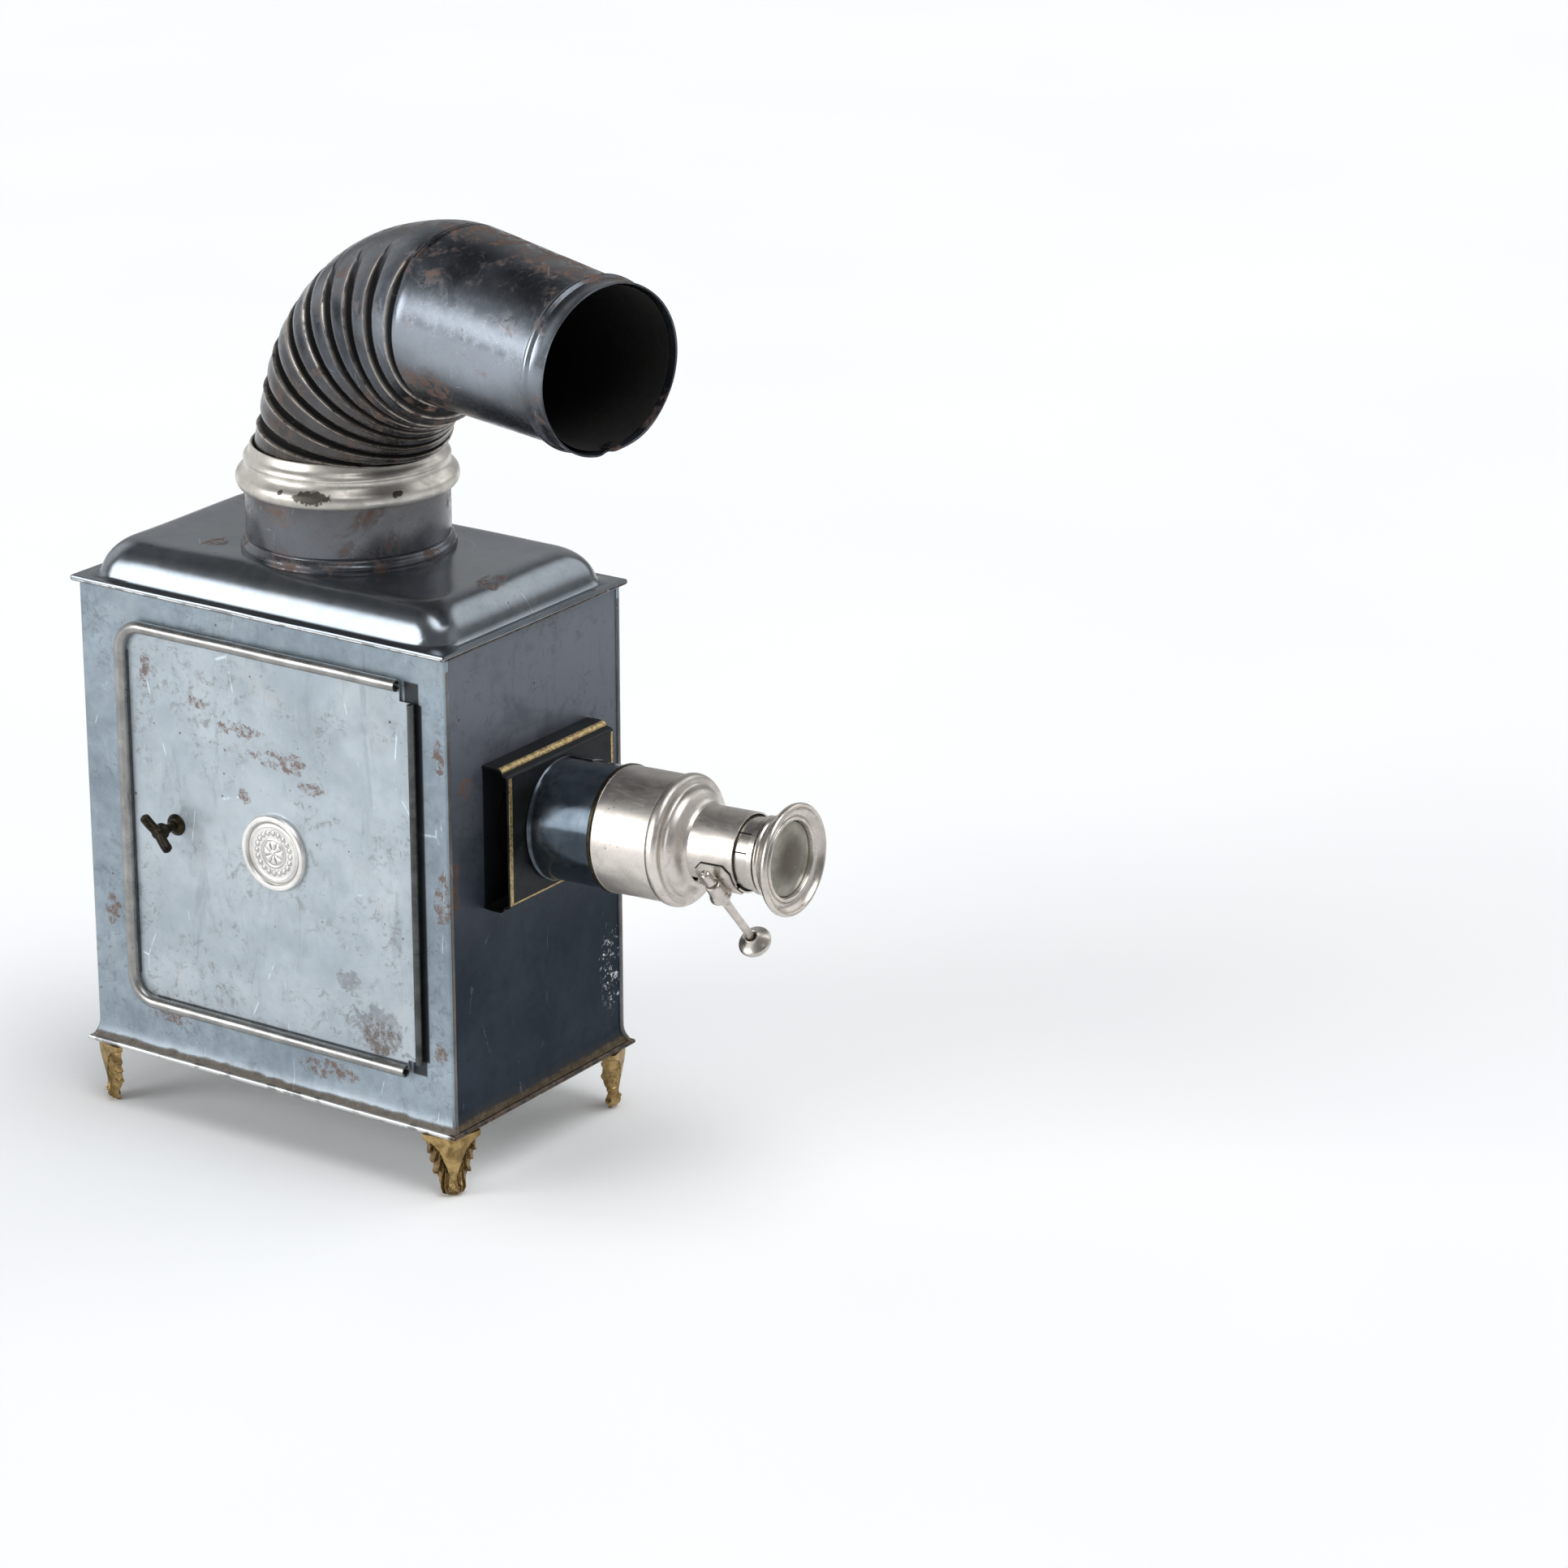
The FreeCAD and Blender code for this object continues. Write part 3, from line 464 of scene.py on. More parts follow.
def weather(p, light, dark, scratch, wear):
    """Warm areas, smears, grime, dark and white specks and scratches on blued sheet."""
    p.over(dim(light, 1.04, 0.95, 0.86), p.cloud(0.52, 0.72, 28, 3, 0.6, 0.8, seed=5), 0.4)
    smear = p.cloud(0.54, 0.70, 9, 4, 0.7, 0.5, p.stretched((1.0, 1.0, 0.22)), 19)
    p.over(dim(dark, 0.72), smear, 0.35 * wear)
    p.over(dim(dark, 0.62, 0.56, 0.50), p.cloud(0.50, 0.64, 5, 5, 0.78, 0.7, seed=37),
           p.cloud(0.40, 0.56, 32, 3, 0.6, 0.5, seed=39), 0.5 * wear)
    p.over(RUST_DARK, p.specks(5.2, 0.15, seed=3), p.cloud(0.42, 0.54, 16, 2, seed=9), 0.85)
    p.over(dim(dark, 0.45), p.specks(2.6, 0.19, seed=33), p.cloud(0.46, 0.6, 11, 3, seed=29), 0.5)
    p.over((0.62, 0.66, 0.68), p.specks(8.0, 0.05, seed=14), 0.8)
    line = p.cracks(34, 0.006, p.stretched((1.0, 1.0, 0.28), (0.5, 0.35, 0.2)), seed=4)
    p.over(tuple(min(1, c * 1.7 + 0.06) for c in light), line,
           p.cloud(0.56, 0.64, 13, 3, 0.6, seed=21), scratch)


def rust_coat(p, rust, patches, grains):
    """Random rust and the patches rusted through; gives back where it is."""
    area = p.cloud(0.70 - 0.10 * rust, 0.77 - 0.10 * rust, 24, 5, 0.68, 1.6, seed=11)
    rusty = p.times(area, p.between(grains, 0.46, 0.60))
    for i, (centre, size) in enumerate(patches):
        spot = p.blob(centre, size, rag=1.1, grain=5.0, seed=30 + i)
        rusty = p.most(rusty, p.times(spot, p.between(grains, 0.43, 0.58), 0.9))
    p.over(p.mix(p.noise(2.2, 3, 0.7, seed=17), RUST_DARK, dim(RUST, 1.15)), rusty, 0.85)
    return rusty


def foot_coat(p, amount, grains):
    """Earth and soot on the flare at the foot of a wall; gives back where the earth is."""
    ragged = p.plus(p.along("Z"), p.times(p.noise(8, 4, 0.7, seed=61), -3.6))
    low = p.between(ragged, BASE_TOP + 1.2, BASE_TOP - 0.3)
    p.over((0.06, 0.052, 0.044), p.between(ragged, BASE_TOP + 5, BASE_TOP + 0.5), 0.4, amount)
    p.over(p.mix(p.between(grains, 0.35, 0.65), EARTH, (0.14, 0.11, 0.075)), low, 0.9, amount)
    p.over((0.40, 0.29, 0.16), p.specks(2.2, 0.17, seed=44), low, 0.8)
    return p.times(low, amount)


def blued_sheet(name, light, dark, rust=0.5, metallic=0.5, rough=0.36, patches=(), foot_rust=0.0,
                scratch=0.6, stains=(), painted_shades=(), chips=(), painted_top_reflection=None, relief=0.06, wear=1.0,
                shine=0.5):
    """Blued sheet iron; patches, stains and chips are (centre, size), and painted_shades are boxes of
    painted shade.
    """
    p = Paint(name)
    fine = p.noise(7, 5, 0.7, 0.3, seed=2)
    grains = p.noise(3.2, 5, 0.8, 0.5, seed=7)
    tone = p.plus(p.times(p.noise(55, 4, 0.6, 0.4), 0.65), p.times(fine, 0.35))
    p.start(p.between(tone, 0.36, 0.66), dark, light)
    # painted reflection: the sheet lighter towards the top of the wall
    if painted_top_reflection:
        p.over(painted_top_reflection, p.between(p.along("Z"), BASE_TOP + 50, WALL_TOP - 10), 0.85)
    weather(p, light, dark, scratch, wear)
    rusty = rust_coat(p, rust, patches, grains)
    if foot_rust:
        rusty = p.most(rusty, foot_coat(p, foot_rust, grains))
    for i, (centre, size) in enumerate(chips):
        p.over((0.72, 0.74, 0.76), p.cloud(0.57, 0.61, 2.6, 5, 0.8, 0.6, seed=90 + i),
               p.blob(centre, size, rag=0.6, grain=7, seed=92 + i))
    for i, (centre, size) in enumerate(stains):
        p.over((0.12, 0.115, 0.11), p.blob(centre, size, rag=1.3, grain=4.5, seed=50 + i),
               p.between(grains, 0.3, 0.6, 0.15, 0.55))
    # painted shade: near black inside each box of painted_shades
    for bounds in painted_shades:
        p.over((0.008, 0.008, 0.009), p.inside(bounds, 0.5), 0.93)
    gloss = p.between(fine, 0.3, 0.7, rough - 0.05 * wear, rough + 0.07 * wear)
    p.bump(p.plus(p.times(grains, p.plus(p.times(rusty, 0.9), 0.03)), p.times(fine, 0.12 * wear)), relief)
    return p.finish(p.mix_value(rusty, gloss, 0.85), p.mix_value(rusty, metallic, 0.1),
                    Specular_IOR_Level=shine)


FLUE_RUST = [((92, -16, 374), (26, 12, 7)), ((132, -26, 369), (24, 14, 7)), ((78, -50, 322), (14, 9, 8)),
             ((40, 30, 255), (8, 14, 12)), ((-38, 0, 250), (5, 12, 10))]


def flue_iron():
    """Dark glossy iron of the chimney, with rust blotches, painted shade in the folds, a painted highlight
    on the outlet's side and worn edges.
    """
    p = Paint("flue_iron")
    cloud = p.noise(30, 5, 0.65, 0.6)
    fine = p.noise(4, 5, 0.72, 0.4, seed=2)
    p.start(p.between(cloud, 0.35, 0.66), (0.034, 0.038, 0.046), (0.098, 0.108, 0.124))
    # the outlet's painted highlight, the paler base pipe and the scorched start of the bend
    p.over((0.36, 0.40, 0.45), p.blob((104, -54, 343), (48, 30, 15), 0.3, 24, 77, 0.5), 0.8)
    p.over((0.165, 0.17, 0.185), p.blob((12, 0, 250), (62, 60, 15), 0.3, 18, 78, 0.3), 0.6)
    p.over((0.078, 0.062, 0.050), p.blob((18, 0, 286), (70, 60, 34), 0.35, 22, 79, 0.5), 0.55)
    p.over((0.17, 0.17, 0.17), p.cloud(0.56, 0.74, 11, 5, 0.74, 1.0, seed=8), 0.3)
    rusty = p.times(p.cloud(0.52, 0.66, 26, 5, 0.66, 1.5, seed=12), p.between(fine, 0.38, 0.6))
    for i, (centre, size) in enumerate(FLUE_RUST):
        spot = p.blob(centre, size, rag=0.9, grain=7, seed=80 + i)
        rusty = p.most(rusty, p.times(spot, p.between(fine, 0.42, 0.60)))
    p.over(p.mix(fine, RUST_DARK, (0.19, 0.078, 0.034)), rusty, 0.7)
    p.over((0.50, 0.44, 0.38), p.attribute("edge"), p.cloud(0.30, 0.55, 5, 3, 0.6, seed=4), 0.85)
    # painted shade: the elbow's folds near black
    fold = p.attribute("fold")
    p.over((0.006, 0.005, 0.005), fold, 0.92)
    scratch = p.cracks(15, 0.010, p.stretched((1, 1, 0.5), (0.4, 0.9, 0.3)), seed=6)
    p.over((0.42, 0.45, 0.48), scratch, p.cloud(0.56, 0.66, 7, 3, 0.6, seed=23), 0.55)
    dull = p.most(rusty, fold)
    p.bump(p.plus(p.times(fine, p.plus(p.times(rusty, 0.7), 0.12)), p.times(cloud, 0.5)), 0.10)
    return p.finish(p.mix_value(dull, p.between(fine, 0.3, 0.7, 0.18, 0.30), 0.75),
                    p.mix_value(dull, 0.82, 0.1))


def nickel(name, tint, rough, pitting, blotches=(), painted_shade_above=None, relief=0.03):
    """Old nickel plate: warm, a little cloudy, pitted with dark specks."""
    p = Paint(name)
    cloud = p.noise(14, 5, 0.62, 0.8)
    fine = p.noise(1.6, 4, 0.7, seed=2)
    pits = p.specks(1.7, 0.24, seed=5)
    where = p.cloud(0.52 - 0.08 * pitting, 0.60, 8, 5, 0.75, 0.9, seed=6)
    p.start(p.between(cloud, 0.34, 0.68), dim(tint, 0.72), tint)
    p.over((0.10, 0.085, 0.065), pits, where, pitting)
    p.over((0.22, 0.19, 0.155), p.cloud(0.58, 0.70, 1.1, 3, 0.8, 0.4, seed=12), 0.45 * pitting)
    p.over((0.30, 0.26, 0.20), p.cloud(0.60, 0.74, 8, 5, 0.7, 1.6, seed=9), 0.5 * pitting)
    # painted shade: the tube darker over its top
    if painted_shade_above:
        p.over(dim(tint, 0.5), p.between(p.along("Z"), painted_shade_above, painted_shade_above + 9), 0.6)
    # painted shade in the medallion's low places
    p.over((0.10, 0.082, 0.06), p.attribute("fold"), 0.85)
    for i, (centre, size) in enumerate(blotches):
        p.over((0.055, 0.05, 0.04), p.blob(centre, size, rag=1.0, grain=2.2, seed=40 + i), 0.9)
    hair = p.cloud(0.4, 0.7, 1.2, 3, 0.6, where=p.stretched((0.25, 1.0, 1.0)), seed=8)
    p.bump(p.plus(p.times(fine, 0.04), p.times(pits, where, -0.6)), relief)
    return p.finish(p.plus(p.between(cloud, 0.3, 0.7, rough + 0.10, rough - 0.04), p.times(hair, 0.08)),
                    0.96)


def brass(name, bright, dark, rough):
    """Pressed brass, dull and darker in its hollows."""
    p = Paint(name)
    cloud = p.noise(6, 5, 0.65, 0.6)
    fine = p.noise(1.1, 4, 0.7, seed=3)
    p.start(p.between(cloud, 0.35, 0.65), dark, bright)
    p.over(dim(dark, 0.12), p.attribute("fold"), 0.95)
    p.over((0.75, 0.74, 0.70), p.specks(2.6, 0.13, seed=6), p.cloud(0.5, 0.62, 5, 2, seed=8), 0.7)
    p.bump(p.plus(p.times(fine, 0.5), p.times(cloud, 0.5)), 0.12)
    return p.finish(p.between(fine, 0.3, 0.7, rough, rough + 0.16), 0.9)


def gold_paint():
    """Gold bronze lining, hand painted: thin and broken in places."""
    p = Paint("gold_lining")
    fine = p.noise(1.5, 4, 0.7, 0.4)
    p.start(p.between(fine, 0.35, 0.62), (0.20, 0.14, 0.06), (0.56, 0.43, 0.21))
    p.over((0.06, 0.05, 0.045), p.cloud(0.60, 0.68, 3.5, 4, 0.7, 0.8, seed=4), 0.8)
    p.bump(fine, 0.08)
    return p.finish(p.between(fine, 0.3, 0.7, 0.34, 0.5), 0.75)


def plain_metal(name, color_a, color_b, rough, metallic, grain=2.0, relief=0.05):
    """Sheet or turned metal with a cloudy tone and a fine grain."""
    p = Paint(name)
    fine = p.noise(grain, 4, 0.7, seed=2)
    p.start(p.cloud(0.35, 0.65, 12, 4, 0.6, 0.6), color_a, color_b)
    p.over(dim(color_a, 0.3), p.specks(4.0, 0.12, seed=4), 0.6)
    p.bump(fine, relief)
    return p.finish(p.between(fine, 0.3, 0.7, rough - 0.05, rough + 0.1), metallic)


def rim_metal(name, bright):
    """A worn sheet edge: bright on the door side; on the lens side painted dark as shade, with bright
    nicks.
    """
    p = Paint(name)
    fine = p.noise(3.0, 4, 0.7, 0.3)
    wall = HOUSE.x / MM + HX
    ahead = p.between(p.along("X"), wall + 0.2, wall + 1.2)
    nick = p.specks(7.0, 0.16, seed=3)
    dull = p.mix(p.between(fine, 0.4, 0.6), (0.035, 0.03, 0.028), (0.11, 0.08, 0.06))
    p.start(p.cloud(0.42, 0.5, 9, 4, 0.6, seed=6), dim(bright, 0.45), bright)
    # painted shade: the run on the lens side dark, with bright nicks
    p.over(dull, ahead, p.between(nick, 0.9, 0.1))
    p.bump(fine, 0.03)
    return p.finish(p.between(fine, 0.3, 0.7, 0.28, 0.42), 0.85)


def glass(name, tint, dust):
    """Clear glass with a film of dust and a few specks."""
    p = Paint(name)
    film = p.noise(5, 5, 0.7, 1.0)
    dust_and_shade = p.most(p.between(film, 0.45, 0.75, 0.0, dust), p.times(p.specks(1.6, 0.12, seed=2), dust))
    p.start(p.times(dust_and_shade, 0.6), tint, (0.55, 0.56, 0.54))
    p.bump(film, 0.01)
    return p.finish(p.mix_value(dust_and_shade, 0.03, 0.35), Transmission_Weight=p.mix_value(dust_and_shade, 1.0, 0.55),
                    IOR=1.52)


def dusty_lens(name, centre):
    """An old lens in its mount: brown in the middle, pale with dust towards the edge."""
    p = Paint(name)
    film = p.noise(7, 5, 0.7, 1.0)
    p.start(p.between(film, 0.35, 0.65), (0.25, 0.24, 0.19), (0.36, 0.35, 0.29))
    p.over((0.060, 0.045, 0.028), p.blob(centre, (30, 10, 10), 0.25, 12, 3, 0.5), 0.95)
    p.over((0.55, 0.50, 0.42), p.specks(2.4, 0.12, seed=2), 0.7)
    p.bump(film, 0.01)
    return p.finish(p.between(film, 0.3, 0.7, 0.10, 0.22), Specular_IOR_Level=0.3)


def cotton():
    """Woven wick."""
    p = Paint("wick_cotton")
    weave = p.node("ShaderNodeTexChecker")
    p.put_all(weave, Vector=p.here, Scale=1.6)
    fine = p.noise(0.8, 3, 0.7)
    p.start(p.plus(p.times(weave.outputs["Fac"], 0.4), p.times(fine, 0.6)),
            (0.36, 0.31, 0.23), (0.74, 0.69, 0.58))
    p.bump(p.plus(p.times(weave.outputs["Fac"], 0.5), p.times(fine, 0.5)), 0.3)
    return p.finish(0.92, Sheen_Weight=0.3)


def pale_floor():
    p = Paint("pale_floor")
    p.start(p.cloud(0.3, 0.7, 300, 2, 0.5), (0.92, 0.925, 0.93), (0.945, 0.945, 0.945))
    return p.finish(0.7)


def spots(y, *places):
    """Patches on the wall at y, each given by its x and z, its width and its height."""
    return [((x, y, z), (wide, 4, tall)) for x, z, wide, tall in places]


DOOR_RUST = spots(-57, (-56, 189, 2.6, 7), (-10, 173, 10, 3), (10, 164, 13, 4), (25, 156, 7, 2.4),
                  (56, 60, 9, 7), (-8, 146, 3, 3), (-30, 180, 5, 2))
WALL_RUST = spots(-56, (-79, 84, 4, 6), (86, 123, 3.6, 11), (30, 40, 14, 4), (-50, 44, 9, 2.4),
                  (84, 60, 3, 5), (86, 180, 2.4, 8))
FRONT_RUST = [((89, -52, 128), (4, 2.5, 13)), ((89, -44, 165), (4, 4, 4))]
DOME_RUST = [((-60, 30, DOME_TOP), (22, 13, 5)), ((76, -8, DOME_TOP), (5, 8, 5)),
             ((-42, -28, DOME_TOP), (5, 6, 5)), ((-30, 44, DOME_TOP), (20, 7, 5))]
# boxes of painted shade: the shadow beside the hinge, along the door's bead, round the stage and beside the
# near lap
WALL_DEPTH, DOOR_DEPTH = (-HY - 3, -HY + 3), (-HY - 6, -HY + 3)
HINGE_SHADE = [((HINGE.x - 1, HINGE.x + 3.5), WALL_DEPTH, (PIN_LOW, PIN_HIGH)),
               ((HINGE.x - 4.5, HINGE.x + 2.2), WALL_DEPTH, (PIN_HIGH - 0.5, DOOR_HI.z - 1.0)),
               ((HINGE.x - 4.5, HINGE.x + 2.2), WALL_DEPTH, (DOOR_LO.z + 1.0, PIN_LOW + 0.5))]
BEAD_IN, BEND = 4.55, 13                      # the bead's inner edge and its corners, from the door's edge
IN_X, IN_LOW, IN_HIGH = DOOR_LO.x + BEAD_IN, DOOR_LO.z + BEAD_IN, DOOR_HI.z - BEAD_IN
DOOR_SHADE = [((IN_X, IN_X + 0.7), DOOR_DEPTH, (DOOR_LO.z + BEND, DOOR_HI.z - BEND)),
              ((DOOR_LO.x + BEND, BEAD_END), DOOR_DEPTH, (IN_LOW, IN_LOW + 0.8)),
              ((DOOR_LO.x + BEND, BEAD_END), DOOR_DEPTH, (IN_HIGH - 0.5, IN_HIGH))]
STAGE_SHADE = [((HX - 3, HX + 3), (-33.5, 33.5), (114, 171)),
               ((HX - 3, HX + 3), (-HY + 2.6, -HY + 3.1), (BASE_TOP + 4, WALL_TOP))]

door_blue = blued_sheet("blued_door", (0.47, 0.525, 0.565), (0.35, 0.40, 0.44), 0.1, patches=DOOR_RUST,
                        stains=[((55, -57, 63), (12, 6, 9)), ((41, -57, 80), (5, 6, 5))], wear=1.5,
                        painted_shades=DOOR_SHADE)
wall_blue = blued_sheet("blued_wall", (0.335, 0.40, 0.45), (0.19, 0.235, 0.275), 0.3, patches=WALL_RUST,
                        foot_rust=0.9, painted_shades=HINGE_SHADE)
# painted shade: the front panel is the blued sheet made much darker, as the side away from the light
front_blue_shaded = blued_sheet("blued_front_shaded", (0.020, 0.032, 0.048), (0.005, 0.012, 0.024), 0.35, metallic=0.35,
                         rough=0.40, patches=FRONT_RUST, foot_rust=1.0, scratch=0.9, painted_shades=STAGE_SHADE,
                         painted_top_reflection=(0.185, 0.20, 0.232), chips=[((HX, 49, 64), (6, 8, 17))], shine=0.12,
                         wear=0.5)
top_blue = blued_sheet("blued_top", (0.235, 0.26, 0.285), (0.165, 0.185, 0.205), 0.35, metallic=0.9,
                       wear=0.35, rough=0.21, patches=DOME_RUST, relief=0.008)
collar_blue = blued_sheet("blued_collar", (0.12, 0.145, 0.17), (0.035, 0.048, 0.062), 0.0, metallic=0.8,
                          rough=0.16, scratch=0.3)
stage_paint = blued_sheet("stage_paint", (0.022, 0.026, 0.030), (0.006, 0.005, 0.004), 0.6, metallic=0.2,
                          rough=0.34, shine=0.1, wear=0.6)
lap_worn = blued_sheet("lap_worn", (0.20, 0.19, 0.18), (0.10, 0.088, 0.078), 0.9, metallic=0.6,
                       foot_rust=0.8)
# black: soot, and painted shade in gaps and deep insides
soot_and_shade_black = plain_metal("soot_and_shade_black", (0.003, 0.003, 0.003), (0.008, 0.007, 0.006), 0.9, 0.0)
inner_iron = plain_metal("inner_iron", (0.012, 0.012, 0.013), (0.035, 0.032, 0.03), 0.65, 0.2)
tinplate = plain_metal("tinplate", (0.42, 0.41, 0.39), (0.62, 0.61, 0.58), 0.32, 0.9)
rim_tin = rim_metal("rim_tin", (0.62, 0.62, 0.61))
hem_tin = rim_metal("hem_tin", (0.26, 0.262, 0.26))
bead_metal = plain_metal("bead_metal", (0.24, 0.238, 0.23), (0.36, 0.355, 0.34), 0.29, 0.92, grain=5.0,
                         relief=0.008)
knuckle_iron = plain_metal("knuckle_iron", (0.045, 0.048, 0.046), (0.10, 0.102, 0.098), 0.30, 0.8,
                           relief=0.01)
flue = flue_iron()
pipe_nickel = nickel("collar_nickel", (0.66, 0.63, 0.575), 0.36, 0.5,
                     blotches=[((16, -41.5, 265.8), (7.5, 6, 2.8)), ((2, -44, 266.4), (1.3, 3, 1.2)),
                               ((40, -19.5, 266.4), (1.3, 3, 1.6))])
barrel_nickel = nickel("barrel_nickel", (0.74, 0.685, 0.63), 0.31, 1.0, painted_shade_above=AXIS_HEIGHT + 14,
                       relief=0.018)
fine_nickel = nickel("fine_nickel", (0.66, 0.61, 0.555), 0.22, 0.2, relief=0.006)
medal_nickel = nickel("medal_nickel", (0.88, 0.86, 0.83), 0.36, 0.3)
foot_brass = brass("foot_brass", (0.48, 0.335, 0.145), (0.18, 0.115, 0.044), 0.27)
lamp_brass = brass("lamp_brass", (0.55, 0.40, 0.16), (0.32, 0.22, 0.085), 0.28)
key_brass = brass("key_brass", (0.045, 0.036, 0.02), (0.012, 0.010, 0.008), 0.3)
gold = gold_paint()
# painted shade: glass made opaque and near black, for glass that sits in shade
shaded_glass = plain_metal("shaded_glass", (0.010, 0.011, 0.010), (0.016, 0.017, 0.015), 0.18, 0.0)
clear_glass = glass("clear_glass", (0.96, 0.98, 0.97), 0.15)
wick_cotton = cotton()


# ---- lamp house -----------------------------------------------------------------------------
FLARE_HIGH, FLARE_OUT = 7.5, 2.1              # the walls sweep out to the base rim
LAP = 2.7                                     # the wrap's return over the front panel
LAP_PROUD = 0.35
WALL_WAVE = 0.22
DOORWAY = (-60, 68, 57, 199.5, 8)             # from and to in x, from and to in z, corner radius


def flare(z):
    t = max(0.0, 1 - (z - BASE_TOP) / FLARE_HIGH)
    return FLARE_OUT * t ** 2.2


def wall_heights():
    low = [BASE_TOP + FLARE_HIGH * k / 8 for k in range(9)]
    high = [low[-1] + (WALL_TOP - low[-1]) * k / 30 for k in range(1, 31)]
    return low + high


def wrap_plan(grow, inset):
    """The wrap's outline in plan, at a distance out and a distance into the sheet."""
    out = grow - inset
    front = HX + LAP_PROUD + out
    corners = [(front, -HY - grow + LAP), (front, -HY - out), (-HX - out, -HY - out),
               (-HX - out, HY + out), (front, HY + out), (front, HY + grow - LAP)]
    path = rounded(corners, 0.9 if not inset else 0.4, 3, closed=False)
    filled = []
    for a, b in zip(path, path[1:]):
        filled.append(a)
        pieces = round((b - a).length / 16)
        for k in range(1, pieces):
            filled.append(a.lerp(b, k / pieces))
    return filled + [path[-1]]


def waved(p, height):
    """Moves a wall point in or out with the sheet's slight unevenness."""
    away = smooth_step(0, 25, height - BASE_TOP) * smooth_step(0, 20, WALL_TOP - height)
    side = smooth_step(0, 20, HX - abs(p.x)) if abs(p.y) > HY - 2 else smooth_step(0, 20, HY - abs(p.y))
    depth = unevenness(Vector((p.x, p.y, height)), 45, WALL_WAVE) * away * side
    if abs(p.y) > HY - 2:
        return Vector((p.x, p.y + depth, height))
    return Vector((p.x + depth, p.y, height))


def side_wrap():
    rows = []
    for z in wall_heights():
        grow = flare(z)
        ring = wrap_plan(grow, 0) + list(reversed(wrap_plan(grow, SHEET)))
        rows.append([waved(p, z) for p in ring])
    doorway = plug_y(round_rect(*DOORWAY), (-HY - 5, -HY + 5))
    piece("wall_wrap", [skin(rows, caps=True)], "house", wall_blue,
          ["side_wrap"], cut=[doorway])


def front_panel():
    edge = HY - 0.9                               # it ends inside the wrap's corners
    across = [-edge + 2 * edge * k / 12 for k in range(13)]
    rows = []
    for z in wall_heights():
        grow = flare(z)
        outer = [waved(Vector((HX + grow, y * (1 + grow / HY), 0)), z) for y in across]
        inner = [waved(Vector((HX + grow - SHEET, y * (1 + grow / HY), 0)), z) for y in reversed(across)]
        rows.append(outer + inner)
    bore = plug_x(circle(25, 64, (0, AXIS_HEIGHT)), (HX - 5, HX + 5))
    piece("wall_front", [skin(rows, caps=True)], "house", front_blue_shaded,
          ["front_panel"], cut=[bore])


def base_rim():
    """The base plate's upturned edge, with a dark gap between it and the wall's flare."""
    hi = span("base_plate")[1]
    lip = hi.x - HX - 0.45
    path = []
    for x, y in round_rect(-HX - lip, HX + lip, -HY - lip, HY + lip, 1.2, 6, 30):
        away = Vector((x, y, 0))
        path.append(Vector((x, y, BASE_TOP - 0.55 + unevenness(away, 26, 0.22))))
    section = rounded([(-0.4, -1.3), (0.4, -1.3), (0.4, 0.15), (-0.4, 0.15)], 0.3, 3)
    piece("base_rim", [sweep(path, section, Z, closed=True)], "house", rim_tin)


def corner_laps():
    """The wrap's ends folded over the front panel: two worn strips up the front corners."""
    for name, side in (("corner_lap_near", -1), ("corner_lap_far", 1)):
        rows = []
        for z in wall_heights():
            if z > WALL_TOP - 0.4:
                continue
            grow = flare(z)
            inner_edge = LAP + unevenness(Vector((7, 0, z)), 30, 0.35)
            x = HX + LAP_PROUD + grow
            rows.append([Vector((x - 0.3, side * (HY + grow - 1.0), z)),
                         Vector((x + 0.22, side * (HY + grow - 1.1), z)),
                         Vector((x + 0.28, side * (HY + grow - inner_edge + 0.3), z)),
                         Vector((x - 0.3, side * (HY + grow - inner_edge), z))])
        piece(name, [skin(rows, caps=True)], "house", lap_worn)


